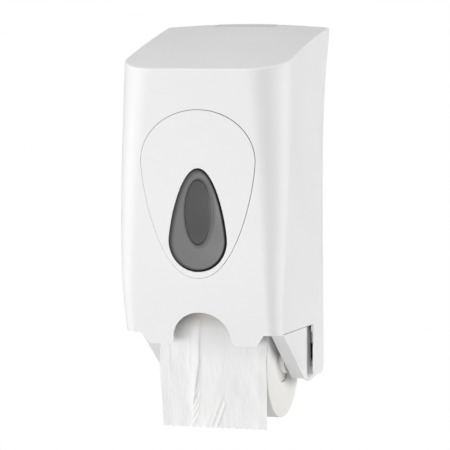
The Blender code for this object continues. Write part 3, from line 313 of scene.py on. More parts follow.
def buildWoundRings():  # the edges of wound layers on the end of a roll
    inputs = [("Centre", "NodeSocketVector", (0.0, 0.0, 0.0)), ("Layer", valueKind, 0.0006)]
    tree, given, made = newGroup("woundRings", inputs, heightAndMask)
    place = addPlace(tree)
    offset = addVector(tree, "SUBTRACT", place, given.outputs["Centre"])
    flat = addVector(tree, "MULTIPLY", offset, (0.0, 1.0, 1.0))
    length = tree.nodes.new("ShaderNodeVectorMath")
    length.operation = "LENGTH"
    tree.links.new(flat, length.inputs[0])
    wander = addNoise(tree, place, patterns["ringWanderScale"], detail=2.0, roughness=0.5)
    shift = addProduct(tree, wander, patterns["ringWander"])
    radius = addMath(tree, "ADD", length.outputs["Value"], shift)
    scale = addInverse(tree, given.outputs["Layer"])
    rings = addNoise(tree, radius, scale, detail=3.0, roughness=0.65, dimensions="1D")
    tree.links.new(rings, made.inputs["Height"])
    tree.links.new(addRange(tree, rings, *patterns["ringMask"]), made.inputs["Mask"])
    return tree


def buildPocketShade():  # mask of the painted shade, nearly black, in the gap behind each rail's window
    tree, given, made = newShade("pocketShade")
    across, back, up = addAxes(tree)
    across = addMath(tree, "ABSOLUTE", across, 0.0)
    facing = addAxes(tree, "Normal")[1]
    edges = [addEdge(tree, facing, "pocketFacing")]
    edges += [addEdge(tree, across, "pocketInner"), addEdge(tree, across, "pocketOuter")]
    edges += [addEdge(tree, up, "pocketLow"), addEdge(tree, up, "pocketTop")]
    edges += [addEdge(tree, back, "pocketFront")]
    wall = addMath(tree, "MAXIMUM", addEdge(tree, back, "pocketWall"), addEdge(tree, up, "pocketSill"))
    tree.links.new(addProduct(tree, given.outputs["Depth"], *edges, wall), made.inputs["Mask"])
    return tree


def buildLeanShade():  # soft shade under faces that lean forward and down, lighter on the left
    tree, given, made = newShade("leanShade")
    side = addRange(tree, addAxes(tree)[0], *shadeEdges["leanAcross"], shadeEdges["leanLeftShare"], 1.0)
    facing = addAxes(tree, "Normal")
    leans = addEdge(tree, facing[1], "leanForward"), addEdge(tree, facing[2], "leanDown")
    tree.links.new(addProduct(tree, given.outputs["Depth"], side, *leans), made.inputs["Mask"])
    return tree


def buildUpperShade():  # warm shade of the paper where it goes up behind the arch
    tree, given, made = newShade("upperShade")
    upper = addEdge(tree, addAxes(tree)[2], "upperPaper")
    tree.links.new(addProduct(tree, given.outputs["Depth"], upper), made.inputs["Mask"])
    return tree


mouldGrain = buildMouldGrain()
pocketShade = buildPocketShade()
leanShade = buildLeanShade()
upperShade = buildUpperShade()
toneDrift = buildToneDrift()
paperCrepe = buildPaperCrepe()
woundRings = buildWoundRings()


# Materials

def newMaterial(name, roughness, **fixed):
    material = bpy.data.materials.new(name)
    material.use_nodes = True
    shader = material.node_tree.nodes["Principled BSDF"]
    shader.inputs["Roughness"].default_value = roughness
    for label, value in fixed.items():
        shader.inputs[label.replace("_", " ")].default_value = value
    return material, material.node_tree, shader


def placeGroup(tree, group, **values):
    node = tree.nodes.new("ShaderNodeGroup")
    node.node_tree = group
    for label, value in values.items():
        node.inputs[label.replace("_", " ")].default_value = value
    return node


def addBump(tree, shader, height, distance):
    bump = tree.nodes.new("ShaderNodeBump")
    bump.inputs["Strength"].default_value = 1.0
    bump.inputs["Distance"].default_value = distance
    tree.links.new(height, bump.inputs["Height"])
    tree.links.new(bump.outputs["Normal"], shader.inputs["Normal"])


def plastic(name, light, dark, patch, rough, grain, wave, depth, **fixed):
    material, tree, shader = newMaterial(name, rough[0], **fixed)
    tone = placeGroup(tree, toneDrift, Light=(*light, 1.0), Dark=(*dark, 1.0), Patch_Size=patch)
    tree.links.new(tone.outputs["Color"], shader.inputs["Base Color"])
    texture = placeGroup(tree, mouldGrain, Grain_Size=grain, Wave_Size=wave)
    tree.links.new(addRange(tree, texture.outputs["Mask"], 0.0, 1.0, *rough), shader.inputs["Roughness"])
    addBump(tree, shader, texture.outputs["Height"], depth)
    return material


def addShade(material, group, colour, depth=1.0):
    tree = material.node_tree
    colourSocket = tree.nodes["Principled BSDF"].inputs["Base Color"]
    shade = placeGroup(tree, group, Depth=depth)
    plain = colourSocket.links[0].from_socket
    tree.links.new(addMix(tree, shade.outputs["Mask"], plain, (*colour, 1.0)), colourSocket)


def paper(name, group, light, dark, depth, **values):
    material, tree, shader = newMaterial(name, roughness=0.95, Specular_IOR_Level=0.1)
    texture = placeGroup(tree, group, **values)
    colour = addMix(tree, texture.outputs["Mask"], (*dark, 1.0), (*light, 1.0))
    tree.links.new(colour, shader.inputs["Base Color"])
    addBump(tree, shader, texture.outputs["Height"], depth)
    return material


smoke = {
    "light": (1.0, 0.975, 0.98),
    "dark": (0.94, 0.92, 0.925),
    "rough": (0.34, 0.40),
    "face": 0.186,
    "pad": 0.064,
    "line": 0.040,
    "rim": 0.012,
    "bands": (0.082, 0.104, 0.130, 0.155, 0.178),
    # the halo tones are a painted shadow round the raised pad
    "halo": (0.158, 0.126, 0.098),
}


def smoked(name, tone, shine=0.28):
    light, dark = ([tone * share for share in smoke[key]] for key in ("light", "dark"))
    return plastic(
        name, light, dark, patch=0.03, rough=smoke["rough"], grain=0.0008, wave=0.03, depth=0.00001,
        Specular_IOR_Level=shine,
    )


whiteShell = plastic(
    "whiteShell", light=(0.900, 0.900, 0.900), dark=(0.888, 0.888, 0.890), patch=0.07, rough=(0.48, 0.54),
    grain=0.0007, wave=0.045, depth=0.00004, Specular_IOR_Level=0.20,
)
# painted shade: dark grey for the shadow line along the cover's lower side edge and in the groove round the
# window surround
shellShadeLine = plastic(
    "shellShadeLine", light=(0.36, 0.36, 0.36), dark=(0.30, 0.30, 0.30), patch=0.02, rough=(0.5, 0.6),
    grain=0.0007, wave=0.045, depth=0.00002, Specular_IOR_Level=0.2,
)
whiteChassis = plastic(
    "whiteChassis", light=(0.90, 0.90, 0.90), dark=(0.88, 0.88, 0.885), patch=0.05, rough=(0.42, 0.52),
    grain=0.0006, wave=0.03, depth=0.00008, Specular_IOR_Level=0.40,
)
# painted shades on the chassis: nearly black behind the rail windows, grey under faces that lean forward and
# down
addShade(whiteChassis, pocketShade, (0.02, 0.02, 0.02))
addShade(whiteChassis, leanShade, (0.74, 0.74, 0.745))
latchWhite = plastic(
    "latchWhite", light=(0.84, 0.84, 0.84), dark=(0.81, 0.81, 0.815), patch=0.03, rough=(0.38, 0.46),
    grain=0.0005, wave=0.02, depth=0.00006, Specular_IOR_Level=0.40,
)
smokedFace = smoked("smokedFace", smoke["face"])
smokedPad = smoked("smokedPad", smoke["pad"])
smokedLine = smoked("smokedLine", smoke["line"])
smokedRim = smoked("smokedRim", smoke["rim"], shine=0.2)
smokedBands = [smoked(f"smokedBand{number}", tone) for number, tone in enumerate(smoke["bands"])]
smokedPadShadow = [smoked(f"smokedPadShadow{number}", tone) for number, tone in enumerate(smoke["halo"])]
spindleWhite = plastic(
    "spindleWhite", light=(0.86, 0.85, 0.825), dark=(0.83, 0.82, 0.80), patch=0.03, rough=(0.42, 0.50),
    grain=0.0005, wave=0.02, depth=0.00004, Specular_IOR_Level=0.30,
)
zincSteel = plastic(
    "zincSteel", light=(0.62, 0.62, 0.63), dark=(0.50, 0.50, 0.52), patch=0.004, rough=(0.28, 0.42),
    grain=0.0003, wave=0.004, depth=0.00003, Metallic=1.0,
)
springSteel = plastic(
    "springSteel", light=(0.52, 0.52, 0.54), dark=(0.42, 0.42, 0.44), patch=0.003, rough=(0.25, 0.35),
    grain=0.0002, wave=0.003, depth=0.00001, Metallic=1.0,
)
greyCard = plastic(
    "greyCard", light=(0.80, 0.76, 0.70), dark=(0.74, 0.70, 0.64), patch=0.006, rough=(0.85, 0.95),
    grain=0.0006, wave=0.008, depth=0.00010, Specular_IOR_Level=0.2,
)
sheetTissue = paper(
    "sheetTissue", paperCrepe, light=(0.950, 0.943, 0.940), dark=(0.935, 0.928, 0.925), depth=0.00004,
    Fibre_Width=0.0012, Fibre_Length=0.030,
)
addShade(sheetTissue, upperShade, (0.80, 0.775, 0.735))
# a darker tone than the loose sheet: partly the paper's tone, partly painted shade for the shadow falling on
# the rolls' barrels
shadedWoundTissue = paper(
    "shadedWoundTissue", paperCrepe, light=(0.84, 0.83, 0.81), dark=(0.81, 0.80, 0.78), depth=0.00006,
    Fibre_Width=0.0012, Fibre_Length=0.012,
)
print("materials ready")


# Mesh tools

meshTools = {"weld": 1e-7, "sharpDeg": 30.0}


def makePiece(name, bm, *materials):
    bmesh.ops.remove_doubles(bm, verts=bm.verts, dist=meshTools["weld"])
    bmesh.ops.recalc_face_normals(bm, faces=bm.faces)
    mesh = bpy.data.meshes.new(name)
    bm.to_mesh(mesh)
    bm.free()
    for material in materials:
        mesh.materials.append(material)
    piece = bpy.data.objects.new(name, mesh)
    scene.collection.objects.link(piece)
    return piece


def shadeSmooth(piece, angle=meshTools["sharpDeg"]):
    piece.data.shade_smooth()
    piece.data.set_sharp_from_angle(angle=math.radians(angle))


def applied(piece):
    graph = bpy.context.evaluated_depsgraph_get()
    mesh = bpy.data.meshes.new_from_object(piece.evaluated_get(graph))
    piece.modifiers.clear()
    piece.data = mesh


def combine(piece, operation, *tools):
    for tool in tools:
        modifier = piece.modifiers.new(operation, "BOOLEAN")
        modifier.operation = operation
        modifier.solver = "EXACT"
        modifier.object = tool
        applied(piece)
        bpy.data.objects.remove(tool, do_unlink=True)


def join(piece, *tools):
    combine(piece, "UNION", *tools)


def cut(piece, *tools):
    combine(piece, "DIFFERENCE", *tools)


def arc(centre, radius, start, end, steps):
    angles = [math.radians(start + (end - start) * step / steps) for step in range(steps + 1)]
    return [(centre[0] + radius * math.cos(angle), centre[1] + radius * math.sin(angle)) for angle in angles]


def bridge(bm, first, second):
    faces = []
    for index in range(len(first)):
        after = (index + 1) % len(first)
        faces.append(bm.faces.new((first[index], first[after], second[after], second[index])))
    return faces


def prism(name, outline, low, high, axis, *materials):
    places = {
        "X": lambda across, up, along: (along, across, up),
        "Y": lambda across, up, along: (across, along, up),
        "Z": lambda across, up, along: (across, up, along),
    }
    place = places[axis]
    bm = bmesh.new()
    near = [bm.verts.new(place(across, up, low)) for across, up in outline]
    far = [bm.verts.new(place(across, up, high)) for across, up in outline]
    bm.faces.new(near)
    bm.faces.new(far)
    bridge(bm, near, far)
    return makePiece(name, bm, *materials)


def rectangle(left, right, low, high):
    return [(left, low), (right, low), (right, high), (left, high)]


def mixed(low, high, share):
    return low + (high - low) * share


def clamped(value):
    return min(max(value, 0.0), 1.0)


# Cover form

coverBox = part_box("cover_shell")
form = {
    "frontY": coverBox[0].y,
    "rearY": coverBox[1].y,
    "depth": -coverBox[0].y,
    "wall": 0.0024,
    "frontTop": 0.1220,
    "roofRise": 0.0368,
    "roofBulge": 0.0080,
    "roofCrown": 0.0034,
    "roofEdge": 0.0015,
    "rearHalf": 0.0719,
    "frontFlare": 0.0060,
    "topTaper": 0.0006,
    "lowTaper": 0.0065,
    "widest": 0.0424,
    "topFlare": 0.0061,
    "lowFlare": 0.0014,
    "flareStart": 0.0370,
    "cornerTop": 0.0332,
    "cornerLow": 0.0102,
    "bendStart": -0.0451,
    "bendRadius": 0.2111,
    "tabLow": -0.1219,
    "lineTop": -0.1109,
    "armBottom": coverBox[0].z,
    "cutBottom": -0.1725,
    "cutTop": 0.1800,
    "cutHalf": 0.0900,
    "overrun": 0.0100,
    "lap": 0.0005,
}
fine = {"corner": 20, "side": 18, "width": 25, "level": 0.012, "edge": 5}
coarse = {"corner": 10, "side": 6, "width": 9, "level": 0.040, "edge": 1}


def depthShare(y):
    return (y - form["frontY"]) / form["depth"]


def frontHalf(z):
    up = clamped((z - form["widest"]) / (form["frontTop"] - form["widest"]))
    down = clamped((form["widest"] - z) / (form["widest"] - form["tabLow"]))
    return form["rearHalf"] + form["frontFlare"] - form["topTaper"] * up ** 2 - form["lowTaper"] * down ** 2


def rearHalf(z):
    up = clamped((z - form["flareStart"]) / (form["frontTop"] + form["roofRise"] - form["flareStart"]))
    down = clamped(z / form["armBottom"])
    return form["rearHalf"] + form["topFlare"] * up ** 2 + form["lowFlare"] * down


def sideX(y, z):
    return mixed(frontHalf(z), rearHalf(z), depthShare(y) ** 2)


def cornerRadius(z):
    share = clamped((z - form["tabLow"]) / (form["frontTop"] - form["tabLow"]))
    return mixed(form["cornerLow"], form["cornerTop"], share)


def frontY(z):
    drop = max(form["bendStart"] - z, 0.0)
    return form["frontY"] + form["bendRadius"] - math.sqrt(form["bendRadius"] ** 2 - drop ** 2)


def roofSideZ(y):
    share = depthShare(y)
    return form["frontTop"] + form["roofRise"] * share + form["roofBulge"] * share * (1.0 - share)


def roofZ(x, y):
    wide = form["rearHalf"] + form["topFlare"]
    return roofSideZ(y) + form["roofCrown"] * depthShare(y) * (1.0 - (x / wide) ** 2)


def planRows(height, inset, rear, steps):
    z = height(form["frontY"])
    start = frontY(z) + inset
    radius = cornerRadius(z) - inset
    rows = []
    for step in range(steps["corner"] + 1):
        angle = math.radians(90) * step / steps["corner"]
        y = start + radius * (1 - math.cos(angle))
        rows.append((y, sideX(y, height(y)) - inset - radius * (1 - math.sin(angle))))
    for step in range(1, steps["side"] + 1):
        y = mixed(start + radius, rear, step / steps["side"])
        rows.append((y, sideX(y, height(y)) - inset))
    return rows


def coverBlock(name, inset, rear, bottom, steps, *materials):
    edge = form["roofEdge"]
    rounds = []
    for step in range(steps["edge"] + 1):
        angle = math.radians(90) * step / steps["edge"]
        rounds.append((edge * (1 - math.sin(angle)), edge * (1 - math.cos(angle))))
    if inset:
        rounds = [(inset, 0.0)]
    levels = [bottom, form["tabLow"] - form["overrun"], form["lineTop"]]
    while levels[-1] + steps["level"] < form["frontTop"] - 2 * edge:
        levels.append(levels[-1] + steps["level"])
    layers = []
    for level in levels:
        rows = planRows(lambda y, level=level: level, inset, rear, steps)
        layers.append((rows, lambda x, y, level=level: level))
    for drop, back in rounds:
        rows = planRows(roofSideZ, inset + back, rear - back, steps)
        layers.append((rows, lambda x, y, drop=drop: roofZ(x, y) - drop))
    bm = bmesh.new()
    last = len(layers[0][0]) - 1
    wide = steps["width"]
    grids = []
    for number, (rows, height) in enumerate(layers):
        capped = number in (0, len(layers) - 1)
        grid = {}
        for row, (y, half) in enumerate(rows):
            for column in range(wide + 1):
                if capped or row in (0, last) or column in (0, wide):
                    x = half * (2 * column / wide - 1)
                    grid[row, column] = bm.verts.new((x, y, height(x, y)))
        grids.append(grid)
        if capped:
            for row in range(last):
                for column in range(wide):
                    near, far = ((row, column), (row, column + 1)), ((row + 1, column + 1), (row + 1, column))
                    bm.faces.new([grid[corner] for corner in (*near, *far)])
    rim = [(0, column) for column in range(wide)]
    rim += [(row, wide) for row in range(last)]
    rim += [(last, column) for column in range(wide, 0, -1)]
    rim += [(row, 0) for row in range(last, 0, -1)]
    for lower, upper in zip(grids, grids[1:]):
        for here, after in zip(rim, rim[1:] + rim[:1]):
            bm.faces.new((lower[here], lower[after], upper[after], upper[here]))
    bmesh.ops.triangulate(bm, faces=bm.faces)
    return makePiece(name, bm, *materials)


pearSizes = {
    "half": 0.0530,
    "wideZ": 0.0414,
    "up": 0.0453,
    "down": 0.1032,
    "upShare": 2.0,
    "downShare": 1.45,
    "sideShare": 2.2,
    "steps": 144,
}
lensSizes = {
    "half": 0.02703,
    "wideZ": -0.0287,
    "up": 0.0640,
    "down": 0.0275,
    "upShare": 1.4,
    "downShare": 2.0,
    "sideShare": 2.0,
    "steps": 120,
}


def egg(sizes, grow):  # a round outline with its own fullness above and below its widest line
    points = []
    for step in range(sizes["steps"]):
        angle = 2 * math.pi * (step + 0.5) / sizes["steps"]
        level = math.sin(angle)
        reach, share, side = sizes["up"], sizes["upShare"], 2.0
        if level < 0:
            reach, share, side = sizes["down"], sizes["downShare"], sizes["sideShare"]
        rise = math.copysign(abs(level) ** (2.0 / share), level)
        x = math.copysign(abs(math.cos(angle)) ** (2.0 / side), math.cos(angle))
        points.append(((sizes["half"] + grow) * x, sizes["wideZ"] + (reach + grow) * rise))
    return points


def pear(grow, shift=(0.0, 0.0)):
    return [(x + shift[0], z + shift[1]) for x, z in egg(pearSizes, grow)]


def dropShape(grow):
    return egg(lensSizes, grow)


# Cover shell

shell = {
    "tabHalf": 0.0495,
    "lineFrontY": -0.1280,
    "sideEdgeZ": -0.1116,
    "sideEdgeHalf": 0.0570,
    "archHalf": 0.0265,
    "archHeight": 0.0236,
    "archFlare": 0.0060,
    "armFrontY": -0.0333,
    "armToe": 0.0060,
    "heelRadius": 0.0075,
    "rebateDepth": 0.0090,
    "rebateTop": -0.1185,
    "rebateSkin": 0.0007,
    "notchHalf": 0.0287,
    "notchFrontY": -0.0130,
    "ribHalf": 0.0220,
    "ribRearY": -0.0152,
    "ribThickness": 0.0020,
    "ribLowZ": 0.1449,
    "padRadius": 0.0065,
    "padInnerX": 0.0671,
    "socketRadius": 0.0028,
    "socketSkin": 0.0012,
    "seatDepth": 0.0016,
    "seatWidth": 0.0024,
    "collarRoom": 0.0021,
    "lineInnerX": 0.0660,
    "lineFacing": 0.6,
    "flareSteps": 10,
    "archSteps": 28,
    "toeSteps": 8,
    "heelSteps": 14,
    "padSteps": 40,
    "socketSteps": 32,
}


def lowerFrontOutline():
    flare = shell["archFlare"]
    archZ = form["tabLow"] + flare
    right = [(shell["sideEdgeHalf"], shell["sideEdgeZ"]), (shell["tabHalf"], form["tabLow"])]
    right += arc((shell["archHalf"] + flare, archZ), flare, 270, 180, shell["flareSteps"])
    for step in range(1, shell["archSteps"]):
        angle = math.radians(90) * step / shell["archSteps"]
        right.append((shell["archHalf"] * math.cos(angle), archZ + shell["archHeight"] * math.sin(angle)))
    left = [(-x, z) for x, z in reversed(right)]
    wide, low = form["cutHalf"], form["cutBottom"]
    top = (0.0, archZ + shell["archHeight"])
    outline = [(wide, low), (wide, shell["sideEdgeZ"]), *right, top, *left]
    return outline + [(-wide, shell["sideEdgeZ"]), (-wide, low)]


def lowerArmOutline():
    hingeY, hingeZ = joints["cover_hinge"]["pos_m"][1:]
    toe = (shell["armFrontY"] + shell["armToe"], hingeZ - shell["heelRadius"] + shell["armToe"])
    low = form["cutBottom"]
    front = shell["armFrontY"] - form["lap"]
    outline = [(front, low), (front, toe[1])]
    outline += arc(toe, shell["armToe"], 180, 270, shell["toeSteps"])
    outline += arc((hingeY, hingeZ), shell["heelRadius"], 270, 360, shell["heelSteps"])
    return outline + [(form["overrun"], hingeZ), (form["overrun"], low)]


def buildCover():
    over = form["overrun"]
    rear = form["rearY"]
    front = form["frontY"]
    bottom = form["cutBottom"]
    cover = coverBlock("coverShell", 0.0, rear, bottom + form["lap"], fine, whiteShell, shellShadeLine)
    cut(cover, coverBlock("inside", form["wall"], rear + over, bottom, coarse))
    cut(cover, prism("belowFront", lowerFrontOutline(), front - over, shell["armFrontY"], "Y"))
    cut(cover, prism("belowArms", lowerArmOutline(), -form["cutHalf"], form["cutHalf"], "X"))
    notch = rectangle(-shell["notchHalf"], shell["notchHalf"], shell["notchFrontY"], rear + over)
    cut(cover, prism("notch", notch, form["frontTop"], form["cutTop"], "Z"))
    ribFront = shell["ribRearY"] - shell["ribThickness"]
    ribTop = roofZ(0.0, ribFront) - form["wall"] / 2
    rib = rectangle(ribFront, shell["ribRearY"], shell["ribLowZ"], ribTop)
    join(cover, prism("rib", rib, -shell["ribHalf"], shell["ribHalf"], "X", whiteShell))
    recess = prism("recess", pear(0.0), front - over, front + over, "Y", whiteShell, shellShadeLine)
    cut(recess, coverBlock("seat", shell["seatDepth"], rear, bottom, fine))
    # painted shade: the seat and walls of the groove round the window surround get the dark line material
    for face in recess.data.polygons:
        face.material_index = 1
    cut(cover, recess)
    cut(cover, prism("pearHole", pear(-shell["seatWidth"]), front - over, front + over, "Y"))
    cut(cover, prism("collarRoom", dropShape(shell["collarRoom"]), front - over, front + over, "Y"))
    hinge = joints["cover_hinge"]["pos_m"][1:]
    outer = sideX(*hinge)
    thin = sideX(shell["armFrontY"], shell["rebateTop"]) - shell["rebateSkin"]
    rebateRear = shell["armFrontY"] + shell["rebateDepth"]
    rebate = rectangle(shell["armFrontY"] - over, rebateRear, bottom, shell["rebateTop"])
    pad = arc(hinge, shell["padRadius"], 0, 360, shell["padSteps"])[:-1]
    socket = arc(hinge, shell["socketRadius"], 0, 360, shell["socketSteps"])[:-1]
    for side in (-1, 1):
        near, far = sorted((side * shell["padInnerX"], side * (outer - form["wall"] / 2)))
        join(cover, prism("pad", pad, near, far, "X", whiteShell))
        near, far = sorted((side * (shell["padInnerX"] - over), side * (outer - shell["socketSkin"])))
        cut(cover, prism("socket", socket, near, far, "X"))
        near, far = sorted((side * shell["padInnerX"], side * thin))
        cut(cover, prism("rebate", rebate, near, far, "X"))
    shadeSmooth(cover)
    for face in cover.data.polygons:  # the narrow step over the rails gets a painted shadow line
        onRim = shell["sideEdgeZ"] < face.center.z < form["lineTop"]
        alongSide = shell["lineFrontY"] < face.center.y < shell["armFrontY"]
        outward = abs(face.normal.x) > shell["lineFacing"] and abs(face.center.x) > shell["lineInnerX"]
        if onRim and alongSide and outward:
            face.material_index = 1
    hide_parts("cover_shell")
    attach(cover, "cover")
    return cover


coverShell = buildCover()
print("cover shell:", len(coverShell.data.polygons), "faces")


# Window surround and lens

window = {
    "gap": 0.00046,
    "shift": (-0.00018, -0.00016),
    "thickness": 0.0013,
    "collarWall": 0.0018,
    "collarDepth": 0.0030,
    "lensGap": 0.0003,
    "lensDrop": 0.0010,
    "rimWidth": 0.0013,
    "rimDrop": 0.0014,
    "rimShift": (-0.0007, 0.0001),
    "bandWidth": 0.0041,
    "bandShift": (0.0009, -0.0011),
    "crown": 0.0006,
    "padHalf": 0.0120,
    "padUp": 0.0284,
    "padZ": -0.0035,
    "padHeight": 0.0004,
    "padEdge": 0.0004,
    # size and offset of the painted shadow round the pad
    "padShadowWidth": 0.0028,
    "padShadowShift": (0.0014, -0.0006),
    "rimSteps": (0.0, 0.35, 0.7, 1.0),
    "rimCurve": 1.5,
    "bandCrown": 0.7,
}


def buildSurround():
    front = form["frontY"]
    over = form["overrun"]
    bottom = form["cutBottom"] + over
    outline = pear(-window["gap"], window["shift"])
    surround = prism("windowSurround", outline, front - over, front + over, "Y", whiteShell)
    combine(surround, "INTERSECT", coverBlock("face", 0.0, form["rearY"], bottom, fine))
    cut(surround, coverBlock("behind", window["thickness"], form["rearY"], bottom - over / 4, fine))
    collarRear = front + window["thickness"] + window["collarDepth"]
    collarFront = front + window["thickness"] - form["lap"]
    join(surround, prism("collar", dropShape(window["collarWall"]), collarFront, collarRear, "Y", whiteShell))
    cut(surround, prism("opening", dropShape(0.0), front - over, collarRear + over, "Y"))
    shadeSmooth(surround)
    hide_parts("window_surround")
    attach(surround, "cover")


def ringStack(bm, rings, slots):
    made = [[bm.verts.new(point) for point in ring] for ring in rings]
    bm.faces.new(made[0])
    for first, second, slot in zip(made, made[1:], slots):
        for face in bridge(bm, first, second):
            face.material_index = slot
    bm.faces.new(made[-1]).material_index = slots[-1]


def dropRing(inset, shift, y):
    outline = dropShape(-window["lensGap"] - inset)
    return [(x + shift[0], y, z + shift[1]) for x, z in outline]


def ovalRing(grow, shift, y):
    ring = []
    for step in range(lensSizes["steps"]):
        angle = 2 * math.pi * (step + 0.5) / lensSizes["steps"]
        across = (window["padHalf"] + grow) * math.cos(angle)
        up = (window["padUp"] + grow) * math.sin(angle)
        ring.append((across + shift[0], y, window["padZ"] + up + shift[1]))
    return ring


def shifted(near, far, share):
    return mixed(near[0], far[0], share), mixed(near[1], far[1], share)


def buildLens():
    face = form["frontY"] + window["lensDrop"]
    rear = form["frontY"] + window["thickness"] + window["collarDepth"]
    still = (0.0, 0.0)
    materials = [smokedFace, smokedRim, smokedLine, smokedPad, *smokedBands, *smokedPadShadow]
    rings = [dropRing(0.0, still, rear)]
    looks = []
    for share in window["rimSteps"]:  # dark rim that slopes down into the collar, wider to the right
        y = face + window["rimDrop"] * (1 - share) ** window["rimCurve"]
        rings.append(dropRing(window["rimWidth"] * share, shifted(still, window["rimShift"], share), y))
        looks.append(smokedRim)
    for band, look in enumerate(smokedBands, start=1):  # the lens tone is set lighter ring by ring away from the rim
        share = band / len(smokedBands)
        place = shifted(window["rimShift"], window["bandShift"], share)
        width = mixed(window["rimWidth"], window["bandWidth"], share)
        crown = window["crown"] * window["bandCrown"] * math.sin(share * math.pi / 2)
        rings.append(dropRing(width, place, face - crown))
        looks.append(look)
    top = face - window["crown"]
    for halo, look in enumerate((smokedFace, *smokedPadShadow)):  # and darker again round the pad: painted shadow of the raised pad, shifted to the lower right
        share = 1 - halo / len(smokedPadShadow)
        grow = window["padEdge"] + window["padShadowWidth"] * share
        rings.append(ovalRing(grow, shifted(still, window["padShadowShift"], share), top))
        looks.append(look)
    pad = top - window["padHeight"]
    for edges, look in ((1, smokedLine), (3, smokedPad), (12, smokedPad)):
        rings.append(ovalRing(-edges * window["padEdge"], still, pad))
        looks.append(look)
    bm = bmesh.new()
    ringStack(bm, rings, [materials.index(look) for look in looks])
    lens = makePiece("smokedLens", bm, *materials)
    shadeSmooth(lens)
    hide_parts("window_lens")
    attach(lens, "cover")


buildSurround()
buildLens()
print("window ready")


# Rolls

rollSizes = {
    "segments": 144,
    "bore": 0.0201,
    "lip": 0.0040,
    "dish": 0.0002,
    "edge": 0.0009,
    "edgeSteps": 4,
    "barrel": (0.9, 0.6, 0.3),
    "bulge": 0.00025,
    "bulgeFrom": 0.9,
    "bulgeAlong": 40,
    "bulgeRound": 2,
    "layer": 0.0005,
    "endFacing": 0.5,
    "sharpDeg": 50.0,
}


def buildRoll(name, node, body):
    low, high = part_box(node)
    centre = (low + high) / 2
    radius = (high.z - low.z) / 2
    half = (high.x - low.x) / 2
    ends = [(half, rollSizes["bore"]), (half, rollSizes["bore"] + rollSizes["lip"])]
    ends += [(half - rollSizes["dish"], (rollSizes["bore"] + radius) / 2), (half, radius - rollSizes["edge"])]
    for step in range(1, rollSizes["edgeSteps"] + 1):
        angle = math.radians(90) * step / rollSizes["edgeSteps"]
        along = half - rollSizes["edge"] * (1 - math.cos(angle))
        ends.append((along, radius - rollSizes["edge"] * (1 - math.sin(angle))))
    barrel = [(half * share, radius) for share in rollSizes["barrel"]]
    right = ends + barrel
    profile = right + [(-x, reach) for x, reach in reversed(right)]
    bm = bmesh.new()
    rings = []
    for along, reach in profile:
        ring = []
        for step in range(rollSizes["segments"]):
            angle = 2 * math.pi * step / rollSizes["segments"]
            back, up = math.cos(angle) * rollSizes["bulgeRound"], math.sin(angle) * rollSizes["bulgeRound"]
            swell = rollSizes["bulge"] * noise.noise(Vector((along * rollSizes["bulgeAlong"], back, up)))
            length = reach + (swell - rollSizes["bulge"] if reach > radius * rollSizes["bulgeFrom"] else 0.0)
            y = centre.y + length * math.cos(angle)
            ring.append(bm.verts.new((along, y, centre.z + length * math.sin(angle))))
        rings.append(ring)
    for first, second in zip(rings, rings[1:] + rings[:1]):
        bridge(bm, first, second)
    endPaper = paper(
        name + "Ends", woundRings, light=(0.87, 0.86, 0.835), dark=(0.82, 0.81, 0.785), depth=0.00006,
        Centre=(0.0, centre.y, centre.z), Layer=rollSizes["layer"],
    )
    roll = makePiece(name, bm, shadedWoundTissue, endPaper)
    for face in roll.data.polygons:
        if abs(face.normal.x) > rollSizes["endFacing"]:
            face.material_index = 1
    shadeSmooth(roll, rollSizes["sharpDeg"])
    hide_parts(node)
    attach(roll, body)


buildRoll("lowerRollPaper", "lower_roll", "lower_paper")
buildRoll("reserveRollPaper", "reserve_roll", "reserve_paper")
print("rolls ready")


# Loose end of the paper

sheet = {
    "half": 0.0500,
    "thickness": 0.0003,
    "gap": 0.0003,
    "wrapDeg": 80.0,
    "columns": 190,
    "rows": 170,
    "narrow": 0.031,
    "lean": 0.00265,
    "slack": 0.0120,
    "slackCurve": 1.8,
    "narrowCurve": 1.5,
    "creaseFade": 0.08,
    "crumpleRise": 1.6,
    "liftRise": 3,
    "drift": 0.0010,
    "broadWave": (0.0007, 95, 2.4),  # height, how close together across and along
    "crumpleWave": (0.0005, 110, 7),
    "hairWave": (0.00012, 600, 14),
    "tornStart": 0.965,
    "tornHeight": 0.0010,
    "tornPitch": 0.0056,
    "tornWander": 1.5,
    "wanderAlong": 60,
    "tornBase": 0.8,
    "tornTeeth": 1.3,
    "tornFray": 0.7,
    "frayAlong": 500,
    "fineShare": 0.6,
    "fineAlong": 1400,
    "sharpDeg": 60.0,
}

creases = [  # from and to as share of the length and place across, width left and right of it, height
    ((0.05, -0.0144), (0.30, -0.0130), 0.0050, 0.0008, 0.0007),
    ((0.30, -0.0130), (0.55, -0.0128), 0.0050, 0.0008, 0.0010),
    ((0.55, -0.0128), (0.84, -0.0198), 0.0045, 0.0009, 0.0013),
    ((0.72, -0.0135), (0.82, -0.0200), 0.0008, 0.0006, 0.0009),
    ((0.79, -0.0135), (0.88, -0.0205), 0.0008, 0.0006, 0.0010),
    ((0.85, -0.0145), (0.94, -0.0215), 0.0008, 0.0006, 0.0010),
    ((0.91, -0.0150), (1.00, -0.0225), 0.0008, 0.0006, 0.0009),
    ((0.80, 0.0078), (1.00, -0.0040), 0.0020, 0.0009, 0.0008),
    ((0.84, 0.0105), (1.00, 0.0018), 0.0016, 0.0009, 0.0007),
    ((0.84, 0.0030), (1.00, -0.0090), 0.0030, 0.0014, 0.0005),
    ((0.30, -0.0418), (0.62, -0.0404), 0.0022, 0.0010, 0.0002),
    ((0.38, -0.0222), (0.60, -0.0217), 0.0022, 0.0010, 0.0003),
    ((0.20, 0.0425), (1.00, 0.0435), 0.0050, 0.0026, 0.0003),
]


